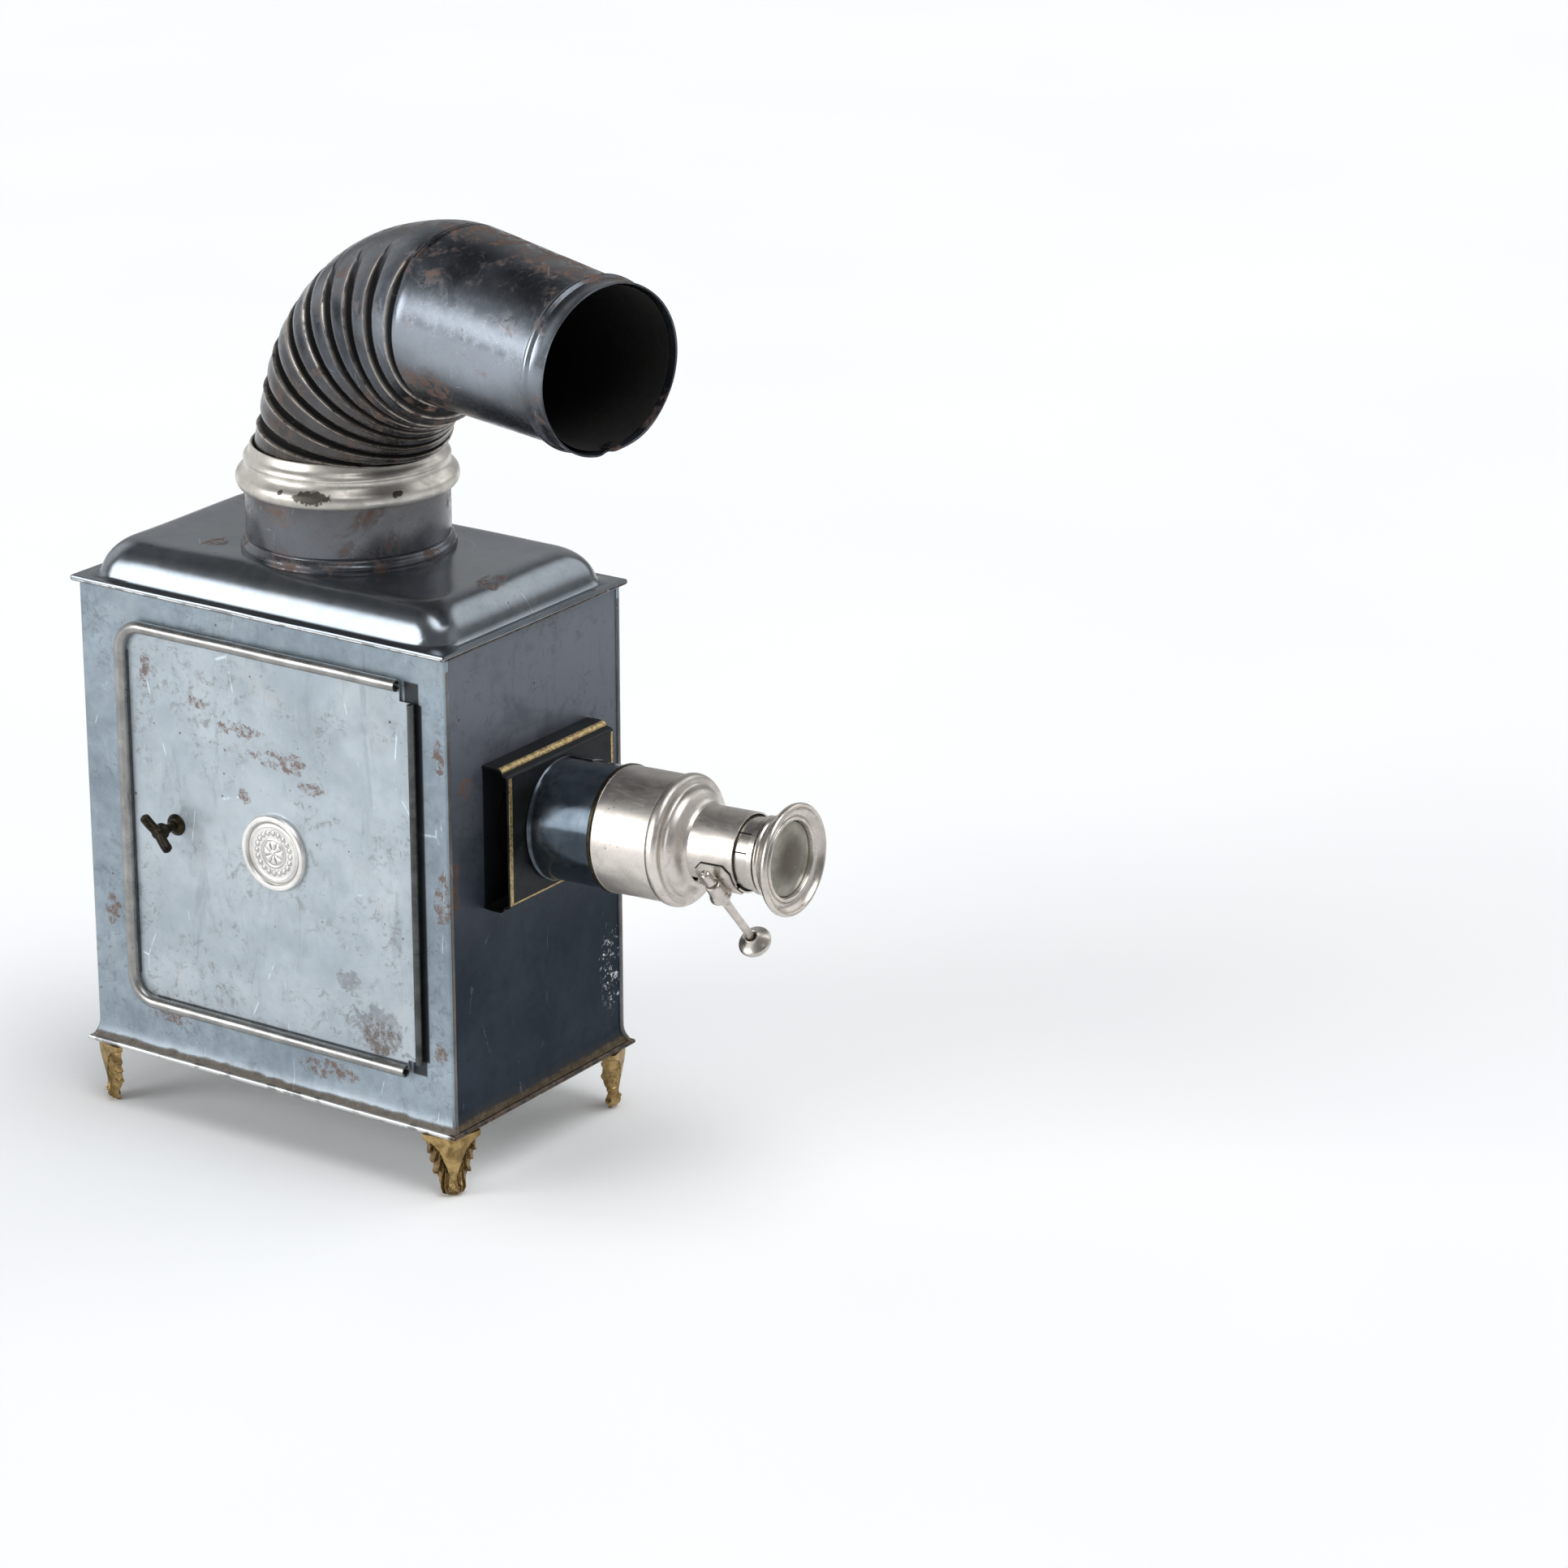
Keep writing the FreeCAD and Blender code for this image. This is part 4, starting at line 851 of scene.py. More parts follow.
def top_plate():
    (_, _, hem), (lx, ly, top) = span("top_plate")
    flange = WALL_TOP + 1.2
    pipe_r = span("chimney_collar")[1].x - FLUE_X - 3.72
    # (inset from the edge, height, corner radius, share of the way to the pipe's circle)
    outer = [(0.9, hem, 0.6, 0), (0.25, hem + 0.25, 0.9, 0), (0.0, hem + 0.8, 1.1, 0),
             (0.0, flange - 0.7, 1.1, 0), (0.25, flange - 0.2, 1.0, 0), (0.9, flange, 1.0, 0),
             (2.2, flange - 0.15, 1.5, 0), (3.6, flange - 0.1, 6.0, 0), (4.4, flange + 0.15, 10.0, 0),
             (4.9, flange + 0.8, 12.0, 0)]
    bare = len(outer) - 1                          # the rim's points that have no inner face
    rise = top - flange
    first, wide = 12, 13.5                         # the shoulder's first angle, and how far in it goes
    low, reach = 0.208, 0.978                      # sine and cosine of that angle
    for k in range(1, 13):
        a = math.radians(first + (90 - first) * k / 12)
        slope = (math.sin(a) - low) / (1 - low)
        outer.append((5.1 + wide * (reach - math.cos(a)) / reach, flange + 0.8 + (rise - 0.8) * slope,
                      12.5 - 2.5 * k / 12, 0))
    outer += [(20.5, top, 9.0, 0.06), (24, top, 8.0, 0.2), (30, top, 8.0, 0.5),
              (38, top, 8.0, 0.8), (44, top, 8.0, 1.0)]
    inner = [(i + 0.7, z - 0.9, r, s) for i, z, r, s in reversed(outer[bare:])]
    inner += [(4.4, flange - 1.2, 8, 0), (1.7, flange - 1.2, 1.0, 0), (1.6, hem, 0.6, 0)]
    rows = []
    for inset, z, corner, share in outer + inner:
        row = []
        for x, y in round_rect(-lx + inset, lx - inset, -ly + inset, ly - inset, corner, 10, 14):
            angle = math.atan2(y, x - FLUE_X)
            ring = Vector((FLUE_X + pipe_r * math.cos(angle), pipe_r * math.sin(angle), z))
            p = Vector((x, y, z)).lerp(ring, share)
            amount = smooth_step(9, 20, inset) * (1 - share)
            p.z += unevenness(p, 38, 0.9) * amount
            p.z += unevenness(Vector((x, y, 5)), 30, 0.25) * (1 - smooth_step(0.5, 3, inset))
            row.append(p)
        rows.append(row)
    piece("dome_top", [skin(rows, close_rows=True)], "house", top_blue, ["top_plate"])
    # the folded hem's bright edge
    path = [Vector((x, y, hem + 0.75 + unevenness(Vector((x, y, 3)), 20, 0.2)))
            for x, y in round_rect(-lx + 0.5, lx - 0.5, -ly + 0.5, ly - 0.5, 1.0, 4, 24)]
    piece("top_hem", [sweep(path, circle(0.62, 10), Z, closed=True)], "house", hem_tin)


side_wrap()
front_panel()
base_rim()
corner_laps()
top_plate()


# ---- chimney --------------------------------------------------------------------------------
FLUE = Vector((FLUE_X, 0, 0))
STAND = Matrix(((0, 0, -1, 0), (0, 1, 0, 0), (1, 0, 0, 0), (0, 0, 0, 1)))       # local X upright
UPRIGHT = Matrix.Translation(FLUE) @ STAND
PIPE_R = (span("chimney_pipe")[1].x - span("chimney_pipe")[0].x) / 2 - 2.1


def chimney_pipe():
    top = span("chimney_pipe")[1].z
    r, z = PIPE_R, DOME_TOP
    outer = [(r, top), (r, z + 5.4), (r - 0.35, z + 4.9), (r - 0.35, z + 4.3), (r + 0.2, z + 3.8),
             (r + 1.2, z + 3.2, 1.0), (r + 2.0, z + 2.0, 1.0), (r + 1.9, z + 0.6, 0.8), (r + 2.3, z - 0.1),
             (r - 0.8, z - 1.0), (r - 0.8, top)]

    def seam(radius, height, angle):
        past = (angle - 2.2) % (2 * PI)
        lap = 0.28 * smooth_step(0, 0.01, past) * (1 - smooth_step(0.18, 1.2, past))
        return radius + lap if height < top - 8 else radius

    piece("chimney_pipe_bead", [lathe(rounded(outer, 0.5), 160, seam)], "house",
          flue, ["chimney_pipe"], UPRIGHT)


def chimney_collar():
    r = PIPE_R + 0.08
    lo, hi = span("chimney_collar")
    z0 = hi.z - 16.9                                    # the skirt's lower edge
    outer = [(r, z0), (42.3, z0, 0.3), (43.0, z0 + 1.0, 0.8), (43.4, z0 + 2.8, 1.6), (42.9, z0 + 5.0, 1.6),
             (41.2, z0 + 6.6, 1.6), (39.9, z0 + 8.2, 1.4), (39.7, z0 + 9.8, 0.8), (40.2, z0 + 10.8, 0.8),
             (39.6, z0 + 12.2, 1.0), (38.2, z0 + 13.6, 1.4), (37.6, z0 + 15.6, 0.8), (37.0, z0 + 16.7, 0.5),
             (36.2, z0 + 16.2, 0.5), (36.4, z0 + 12.8), (35.5, z0 + 9.0), (35.0, z0 + 9.0),
             (35.0, lo.z), (35.6, lo.z), (35.6, z0 + 8.2), (r, z0 + 8.0)]
    piece("collar_ogee", [lathe(rounded(outer, 0.4, 4), 180)], "flue_collar", pipe_nickel,
          ["chimney_collar"], UPRIGHT)


def swing_of_elbow():
    """The elbow's yaw, from where the outlet's middle stands beside the swivel axis."""
    lo, hi = span("chimney_outlet")
    return math.atan2((lo.y + hi.y) / 2, (lo.x + hi.x) / 2 - FLUE.x)


YAW = swing_of_elbow()
SPIGOT_R = 34.8
BEND_Z, BEND_R = 272.0, 68.0
BEND_TURN = math.radians(93.0)
PLEATS = 9
OUTLET = 83.0
SWUNG = Matrix.Translation(FLUE) @ Matrix.Rotation(YAW, 4, "Z")


def bend_point(turn, angle, grow):
    """A point of the elbow: turn along the bend, angle round the section (0 is the outer side)."""
    swell = smooth_step(0, 0.30, turn) * (1 - smooth_step(BEND_TURN - 0.34, BEND_TURN - 0.02, turn))
    line = BEND_R - 4.7 * swell
    deep = SPIGOT_R + 3.2 * swell + grow
    wide = SPIGOT_R - 0.2 * swell + grow
    out = line + deep * math.cos(angle)
    return Vector((BEND_R - out * math.cos(turn), wide * math.sin(angle), BEND_Z + out * math.sin(turn)))


# one pleat from fold to fold: (share of its length, height over the smooth elbow, how dark the painted
# shade of the fold is)
PLEAT = [(0.00, -0.80, 1.0), (0.04, -0.50, 0.8), (0.09, -0.16, 0.35), (0.15, 0.06, 0.0),
         (0.24, 0.20, 0.0), (0.36, 0.26, 0.0), (0.50, 0.24, 0.0), (0.64, 0.19, 0.0), (0.74, 0.20, 0.0),
         (0.80, 0.26, 0.0), (0.825, 0.30, 0.0), (0.838, 0.26, 0.0), (0.845, -0.20, 1.0),
         (0.86, -0.95, 1.0), (0.91, -1.12, 1.0), (0.96, -1.02, 1.0)]


def fold_depth(index, angle):
    """How deep a fold is: full at the sides, shallow over the crown of the last ones."""
    side = 1 - math.cos(angle)                     # 0 on the crown, 2 inside the bend
    late = smooth_step(2.5, 6.5, index)
    crown = 0.45 * (1 - late)
    reach = 0.26 + 0.22 * late
    inside = 1 - 0.45 * smooth_step(1.5, 2.0, side)
    return (crown + (1 - crown) * smooth_step(reach * 0.25, reach * 1.4, side)) * 3.9 * inside


def chimney_elbow():
    lo = span("chimney_elbow")[0].z
    around = angles(128)
    rows, folds, edges = [], [], []
    for z in (lo, lo + 0.6, 262, BEND_Z - 1.5):
        rows.append([Vector((-(SPIGOT_R - 0.04) * math.cos(a), (SPIGOT_R - 0.04) * math.sin(a), z))
                     for a in around])
        folds.append([0.0] * len(around))
        edges.append([0.0] * len(around))

    def ring(turn, height, dark, worn, drop):
        """One ring of the bend, with the height of a fold of that number and the darkness of the painted
        shade in it.
        """
        deep = [fold_depth(drop, a) for a in around]
        raised = [height * d * (0.35 if drop == 0 and height < 0 else 1.0) for d in deep]
        rows.append([bend_point(turn, a, high) for a, high in zip(around, raised)])
        folds.append([dark * min(1.0, d / 1.8) * (0.0 if drop == 0 else 1.0) for d in deep])
        edges.append([worn * min(1.0, d / 1.6) for d in deep])

    first, step = math.radians(-0.2), BEND_TURN / PLEATS
    for i in range(PLEATS):
        for share, height, dark in PLEAT:
            crest = 1.0 if 0.79 < share < 0.84 else 0.0
            ring(first + step * (i + share * 0.999), height, dark, crest, i if share < 0.5 else i + 1)
    ring(BEND_TURN, -0.9, 1.0, 0.0, PLEATS)
    inner = []
    for turn in [BEND_TURN * (1 - k / 24) for k in range(25)]:
        inner.append([bend_point(turn, a, -5.6) for a in around])
    inner.append([Vector((p.x, p.y, lo)) for p in inner[-1]])
    points, faces = skin(rows + inner, close_rows=True)
    obj = piece("elbow_pleated", [(points, faces)], "flue", flue, ["chimney_elbow"],
                SWUNG, sharp=50)
    # painted shade in the folds (fold), and the worn crests (edge)
    shade_attribute(obj, points, "fold", folds, SWUNG)
    shade_attribute(obj, points, "edge", edges, SWUNG)
    # the lap of the elbow's sheet inside the bend
    tab = block(-5.5, 6.5, -4.2, 4.2, -0.5, 0.5, 0.25)
    seat = bend_point(BEND_TURN * 0.99, PI, 0)
    place = SWUNG @ Matrix.Translation(seat) @ Matrix.Rotation(math.radians(-4), 4, "Y")
    piece("elbow_seam_tab", [tab], "flue", flue, (), place)


def chimney_outlet():
    end = bend_point(BEND_TURN, PI / 2, -SPIGOT_R)
    r0, r1, n = SPIGOT_R, 32.0, OUTLET
    outer = [(r0 - 2.2, -1.2), (r0 - 0.3, 0.2, 0.8), (r0 + 0.35, 1.8, 1.4), (r0 - 0.1, 5.0, 2),
             (r1 + 0.15, n - 12.2), (r1 + 0.1, n - 11.6, 0.5), (r1 + 1.4, n - 10.6, 0.9),
             (r1 + 1.5, n - 9.0, 0.9), (r1 + 0.2, n - 7.8, 0.6), (r1 + 0.1, n - 4.5, 1.0),
             (r1 + 0.75, n, 0.2)]
    inner = [(r - SHEET, d) for r, d, *_ in reversed(outer)]
    profile = rounded(outer + inner, 0.3, 3)

    def dented(radius, distance, angle):
        crown = smooth_step(0.1, 0.75, math.sin(angle)) * (1 - smooth_step(4, 10, distance))
        if radius > r1 - SHEET / 2 or distance < 1:
            plain = r0 + 0.04 - (r0 - r1) * max(0.0, distance) / n
            radius += (plain - radius) * crown
        near = smooth_step(n - 30, n, distance)
        low = math.exp(-((angle - 1.55 * PI) / 0.30) ** 2)
        nick = math.exp(-((angle - 1.50 * PI) / 0.07) ** 2) * smooth_step(n - 6, n, distance)
        wave = noise.noise(Vector((math.cos(angle) * 1.7, math.sin(angle) * 1.7, distance / 30)))
        return radius - near * (1.1 * low + 1.0 * nick) + wave * 0.35 * near

    place = SWUNG @ Matrix.Translation(end) @ Matrix.Rotation(BEND_TURN - PI / 2, 4, "Y")
    piece("outlet_pipe", [lathe(profile, 160, dented)], "flue", flue,
          ["chimney_outlet"], place)
    wide, narrow = r0 - SHEET, r1 - SHEET          # the inside: a thin black shell of soot that also stands for the shade deep in the pipe (painted shade)
    soot_and_shade = [(wide - 0.5, 2), (narrow - 0.35, n - 13), (narrow - 0.35, n - 2.5), (narrow - 0.6, n - 2.5),
            (narrow - 0.6, n - 13), (wide - 0.75, 2)]
    piece("outlet_soot_and_shade", [lathe(soot_and_shade, 96)], "flue", soot_and_shade_black, (), place)


chimney_pipe()
chimney_collar()
chimney_elbow()
chimney_outlet()


# ---- slide stage and objective -----------------------------------------------------------------
OPTIC = joint("barrel_slide")[1]
ASIDE = Z.cross(OPTIC).normalized()
# Local X along the objective, from the front wall at the height of the axis. A turned piece's profile
# is a list of (radius, distance along X), with a corner's own radius as a third number.
LENS = axes_at(Vector((HX, 0, AXIS_HEIGHT)), OPTIC, ASIDE, OPTIC.cross(ASIDE))
PINION = LENS.inverted() @ joint("focus_turn")[0]
PINION_ANGLE = math.atan2(PINION.z, PINION.y)           # where it stands, round the objective
lens_glass = dusty_lens("lens_glass", LENS @ Vector((116, 0, 0)))


def stage_half(offset):
    """Half section of the stage over the axis: (ahead of the wall, height)."""
    top, ledge = 29.2 - offset, 27.3 - offset
    deep = STAGE_OUT - HX - offset
    return [(0, top - 0.3), (4.0, top, 1.5), (7.9, top - 0.1, 0.4), (8.8, top - 0.5, 0.5),
            (9.4, top - 1.2, 0.5), (9.5, ledge, 0.2), (deep - 1.0, ledge - 0.35, 0.5),
            (deep, ledge - 1.2, 0.5), (deep, 0)]


def slide_stage():
    outer = rounded(stage_half(0), 0.4, 4, closed=False)
    inner = rounded(stage_half(SHEET), 0.3, 4, closed=False)
    half = outer + [Vector((STAGE_OUT - HX - SHEET, 0))] + list(reversed(inner))[1:]
    half = half[:-1] + [Vector((0, 28.9 - SHEET))]
    ys = [-STAGE_Y + 2 * STAGE_Y * k / 12 for k in range(13)]
    halves = []
    for sign in (1, -1):
        rows = []
        for y in ys:
            row = []
            for s, h in half:
                bend = unevenness(Vector((s, y, h * sign)), 16, 0.22)
                row.append(Vector((HX + s + (bend if s > 6 else 0), y, AXIS_HEIGHT + h * sign)))
            rows.append(row)
        halves.append(skin(rows, caps=True))
    bore = plug_x(circle(21.5, 64, (0, AXIS_HEIGHT)), (HX + 5, STAGE_OUT + 3))
    piece("stage_body", halves, "house", stage_paint, ["slide_stage"], cut=[bore])
    roll = rounded([(7.6, 29.25), (8.0, 29.25, 0.4), (8.9, 28.85, 0.5), (9.55, 28.05, 0.5), (9.6, 27.5)],
                   0.3, 5, closed=False)
    under = [p + Vector((-0.3, -0.3)) for p in reversed(roll)]
    rows = [[Vector((HX + s, y * 0.99, AXIS_HEIGHT + h)) for s, h in roll + under] for y in ys]
    piece("stage_gold_top", [skin(rows, caps=True)], "house", gold)

    def on_face(y, h):
        """How far the stage's outer face stands out there."""
        return STAGE_OUT + unevenness(Vector((STAGE_OUT - HX, y, h)), 16, 0.22)

    for name, y, wide in (("stage_line_near", -STAGE_Y + 1.3, 1.1),
                          ("stage_line_far", STAGE_Y - 1.2, 0.8)):
        path = []
        for h in [-25.4 + 51.2 * k / 40 for k in range(41)]:
            sway = unevenness(Vector((0, y, h)), 14, 0.25)
            path.append(Vector((on_face(y, h), y + sway, AXIS_HEIGHT + h)))
        section = [(-wide, -0.2), (-wide + 0.1, 0.1), (wide - 0.1, 0.1), (wide, -0.2)]
        piece(name, [sweep(path, section, X)], "house", gold)
    low = -25.3
    path = [Vector((on_face(y, low) - 0.05, y * 0.99, AXIS_HEIGHT + low)) for y in ys]
    piece("stage_line_low", [sweep(path, [(-0.4, -0.2), (-0.35, 0.14), (0.35, 0.14), (0.4, -0.2)], X)],
          "house", gold)


def lens_collar():
    r = 23.85
    foot = STAGE_OUT - HX + 0.1
    profile = [(r + 0.8, foot, 0.2), (r + 0.9, foot + 0.4, 0.2), (r + 0.4, foot + 0.9, 0.5),
               (r + 0.1, foot + 1.8, 0.8), (r, foot + 5.4, 1.6), (r, 55.6, 0.2), (r - 0.4, 56.0, 0.2),
               (r - SHEET, 55.6, 0.2), (r - SHEET, 8.0), (r, 8.0), (r, foot - 0.6)]
    slit, start = 0.052, math.radians(71)
    piece("lens_collar_tube", [lathe(rounded(profile, 0.3, 4), 150, None, start + slit, 2 * PI - slit)],
          "house", collar_blue, ["lens_collar"], LENS)
    strip = [(r + 0.1, foot + 1.0), (r + 0.6, foot + 2.4), (r + 0.6, 25.4), (r + 0.1, 25.8)]
    piece("lens_collar_lap", [lathe(rounded(strip, 0.2), 12, None, start - 0.12, 0.32)],
          "house", collar_blue, (), LENS)


def barrel():
    r_in, nose = 23.95, 15.45
    r = r_in + 0.72
    tube = [(r_in, 41.2), (r - 0.1, 41.0, 0.2), (r + 0.25, 41.5, 0.3), (r + 0.25, 42.1, 0.3), (r, 42.6),
            (r, 66.9), (r_in, 66.9)]

    def worn(radius, distance, angle):
        at = Vector((distance / 9, math.cos(angle) * 2, math.sin(angle) * 2))
        return radius + 0.06 * noise.noise(at)

    piece("barrel_rear_tube", [lathe(rounded(tube, 0.15), 180, worn)], "barrel", barrel_nickel,
          ["barrel_tube"], LENS)
    # the rear rim near black and a little wider than the rim itself: partly painted shade of the gap behind
    # it
    rim = [(r_in, 40.5), (r + 0.1, 40.5), (r + 0.5, 40.9), (r + 0.5, 42.1), (r + 0.2, 42.4), (r_in, 42.3)]
    piece("barrel_rear_rim", [lathe(rounded(rim, 0.15), 140)], "barrel", key_brass, (), LENS)
    outer = [(r - 0.1, 66.8), (r + 0.5, 67.2, 0.4), (r + 1.05, 68.4, 0.9), (r + 1.1, 70.2, 1.0),
             (r + 0.5, 71.6, 0.9), (r - 0.8, 72.3, 0.8), (r - 2.3, 72.2, 0.7), (r - 3.2, 72.9, 0.8),
             (r - 3.5, 74.6, 1.2), (r - 4.6, 76.4, 1.4), (r - 6.4, 77.4, 1.2), (nose + 1.5, 78.0, 1.0),
             (nose + 0.5, 78.8, 0.6), (nose + 0.05, 80.0, 0.4)]
    inner = [(nose - 0.1, 79.6), (nose + 0.9, 77.2), (r - 6.6, 76.6), (r - 4.4, 74.2), (r - 3.4, 71.9),
             (r - 0.72, 71.3), (r - 0.7, 66.8)]
    piece("barrel_step", [lathe(rounded(outer + inner, 0.4, 4), 180)], "barrel", barrel_nickel,
          ["barrel_shoulder"], LENS)


def lens_tube():
    """The sprung inner tube: a slit on either side of a tongue, and a black ring of painted shade where it
    leaves the nose.
    """
    profile = rounded([(14.3, 62), (14.3, 88.4), (13.9, 89.0), (13.9, 109.6), (13.5, 109.6), (13.5, 89.0),
                       (14.1, 88.4), (14.1, 62)], 0.1)
    low, high = math.radians(129.6), math.radians(161.4)
    half = 0.02                               # half a slit's width, as an angle
    tongue = lathe(profile, 24, None, low + half, high - low - 2 * half)
    rest = lathe(profile, 150, None, high + half, 2 * PI - (high - low) - 2 * half)
    piece("lens_tube_slit", [tongue, rest], "lens", fine_nickel, ["lens_tube"], LENS)
    # painted shade: a black ring standing in for the dark gap inside the nose
    shade_ring = [(13.95, 97.0), (14.83, 97.0), (14.83, 99.4), (13.95, 99.4)]
    gap = 0.13                                # room for the rack
    ring = lathe(shade_ring, 96, None, PINION_ANGLE + gap, 2 * PI - 2 * gap)
    piece("nose_gap_shade", [ring], "barrel", soot_and_shade_black, (), LENS)


def front_bezel():
    outer = [(14.1, 108.9), (15.6, 109.0, 0.3), (16.1, 109.7, 0.4), (15.8, 110.5, 0.4),
             (15.6, 110.9, 0.2), (16.3, 111.7, 0.4), (17.3, 112.3, 0.3), (17.5, 113.0, 0.3),
             (18.5, 113.7, 0.5), (19.5, 114.5, 0.5), (20.6, 115.4, 0.5), (21.5, 116.3, 0.5),
             (21.85, 117.4, 0.6), (21.5, 118.5, 0.6), (20.8, 118.9, 0.5), (20.2, 118.5, 0.3),
             (19.7, 117.5, 0.4), (18.6, 116.4, 0.8), (17.3, 115.9, 0.7), (16.6, 116.2, 0.3),
             (16.2, 117.1, 0.4), (15.5, 117.3, 0.4), (14.9, 116.9, 0.3), (14.5, 115.4, 0.3)]
    inner = [(14.3, 113.4), (15.2, 113.4), (15.2, 110.4), (14.1, 110.4)]
    piece("bezel_trumpet", [lathe(rounded(outer + inner, 0.2, 4), 160)], "lens", fine_nickel,
          ["front_bezel"], LENS)


def front_lens():
    """The convex front glass, seated behind the bezel's inner bead."""
    edge = 14.25
    outline = [(0, 117.4)]
    for k in range(1, 19):
        r = edge * k / 18
        outline.append((r, 115.1 + 2.3 * (1 - (r / edge) ** 2)))
    outline += [(edge, 113.2), (0, 113.2)]
    piece("front_glass", [lathe(outline, 96)], "lens", lens_glass, ["front_lens"], LENS)


slide_stage()
lens_collar()
barrel()
lens_tube()
front_bezel()
front_lens()


# ---- focusing --------------------------------------------------------------------------------
def focusing():
    middle, axis = joint("focus_turn")
    to_knob = sum(span("focus_knob"), Vector()) / 2 - middle
    way = axis if to_knob.dot(axis) > 0 else -axis
    place = axes_at(middle, way, OPTIC, way.cross(OPTIC))      # local X along the shaft to its knob
    rod = [(0, -13.4), (0.8, -13.4, 0.3), (1.0, -13.0), (1.0, -12.4), (1.9, -11.8, 0.4), (1.95, -5.4),
           (1.2, -5.1), (1.2, 4.9), (2.3, 5.3, 0.3), (2.6, 6.2, 0.4), (2.4, 7.2, 0.4), (1.75, 8.6, 0.6),
           (1.6, 20), (1.6, 34.2), (0, 34.2)]
    piece("focus_rod", [lathe(rounded(rod, 0.15, 3, closed=False), 48)], "pinion", fine_nickel,
          ["focus_shaft"], place)
    knob = [(1.6, 34.6), (2.2, 33.6, 0.3), (2.7, 33.4, 0.3), (3.1, 34.2, 0.4), (4.4, 35.5, 1.0),
            (6.3, 36.8, 0.5), (6.65, 37.6, 0.5), (6.3, 39.0, 1.2), (4.6, 40.9, 1.6), (2.4, 41.7, 1.2),
            (0, 41.8)]
    piece("focus_mushroom", [lathe(rounded(knob, 0.3, 4, closed=False), 64)], "pinion",
          fine_nickel, ["focus_knob"], place)
    bell = [(1.4, -4.6), (2.8, -4.7, 0.4), (3.2, -3.8, 0.6), (3.3, -1.5), (3.5, 0.8, 0.6), (3.9, 1.6, 0.4),
            (4.0, 2.4, 0.4), (4.3, 3.0, 0.4), (4.4, 4.0, 0.5), (3.8, 4.7, 0.4), (1.4, 4.9)]
    piece("pinion_bell", [lathe(rounded(bell, 0.3, 4), 72)], "barrel", fine_nickel,
          ["pinion_housing"], place)
    piece("pinion_saddle", [saddle_plate()], "barrel", fine_nickel, (), LENS)
    # painted shade: a black plate a little larger than the saddle, as the dark outline round it
    piece("pinion_saddle_shade", [saddle_plate(0.35, 0.25)], "barrel", soot_and_shade_black, (), LENS)


def saddle_plate(margin=0.0, tall=0.9):
    """A curved plate with clipped corners on the nose tube, under the pinion."""
    r, clip, columns = 15.5, 3.0, 14
    s0, s1, half = 83.4 - margin, 98.8 + margin * 0.6, 0.62 + margin / r
    rows = []
    for k in range(columns + 1):
        across = -half + 2 * half * k / columns
        short = max(0.0, clip - (half - abs(across)) * r)
        low, high = s0 + short, s1 - short
        a = PINION_ANGLE + across
        ring = ((low, r), (low, r + tall - 0.15), (low + 0.3, r + tall), (high - 0.3, r + tall),
                (high, r + tall - 0.15), (high, r))
        rows.append([Vector((s, rr * math.cos(a), rr * math.sin(a))) for s, rr in ring])
    return skin(rows, caps=True)


focusing()


# ---- door -------------------------------------------------------------------------------------
BEAD_R = 2.4
CORNER_R = 10.8                                       # of the bead's middle line
BEAD_Y = DOOR_FACE + 0.6 - BEAD_R + 0.3
DOOR_LEFT = DOOR_LO.x + BEAD_R
DOOR_LOW, DOOR_TOP = DOOR_LO.z + BEAD_R, DOOR_HI.z - BEAD_R
DOOR_SHEET = 0.6
HINGE_LOW, HINGE_HIGH = PIN_LOW - 0.4, PIN_HIGH + 0.4
KEY_STEM = Matrix.Translation(Vector((KEY.x, DOOR_FACE, KEY.z))) @ Matrix.Rotation(-PI / 2, 4, "Z")


def bead_path():
    """Along the top, round the free side and back along the bottom."""
    high, low, inner = DOOR_TOP - CORNER_R, DOOR_LOW + CORNER_R, DOOR_LEFT + CORNER_R

    def bend(z, start):
        turns = [PI * (start + k / 24) for k in range(13)]
        return [(inner + CORNER_R * math.cos(a), z + CORNER_R * math.sin(a)) for a in turns]

    points = [(BEAD_END + (inner - BEAD_END) * k / 14, DOOR_TOP) for k in range(14)]
    points += bend(high, 0.5)
    points += [(DOOR_LEFT, high + (low - high) * k / 14) for k in range(1, 14)]
    points += bend(low, 1.0)
    points += [(inner + (BEAD_END - inner) * k / 14, DOOR_LOW) for k in range(1, 15)]
    out = []
    for x, z in points:
        wave = unevenness(Vector((x, 0, z)), 24, 0.22)
        out.append(Vector((x, BEAD_Y + wave * 0.4, z + wave * 0.5)))
    return out


def corner_reach(z):
    """The sheet's left edge at a height, following the rounded corners."""
    gap = max(0.0, CORNER_R - (z - DOOR_LOW), CORNER_R - (DOOR_TOP - z))
    return DOOR_LEFT + CORNER_R - math.sqrt(max(0.0, CORNER_R * CORNER_R - gap * gap))


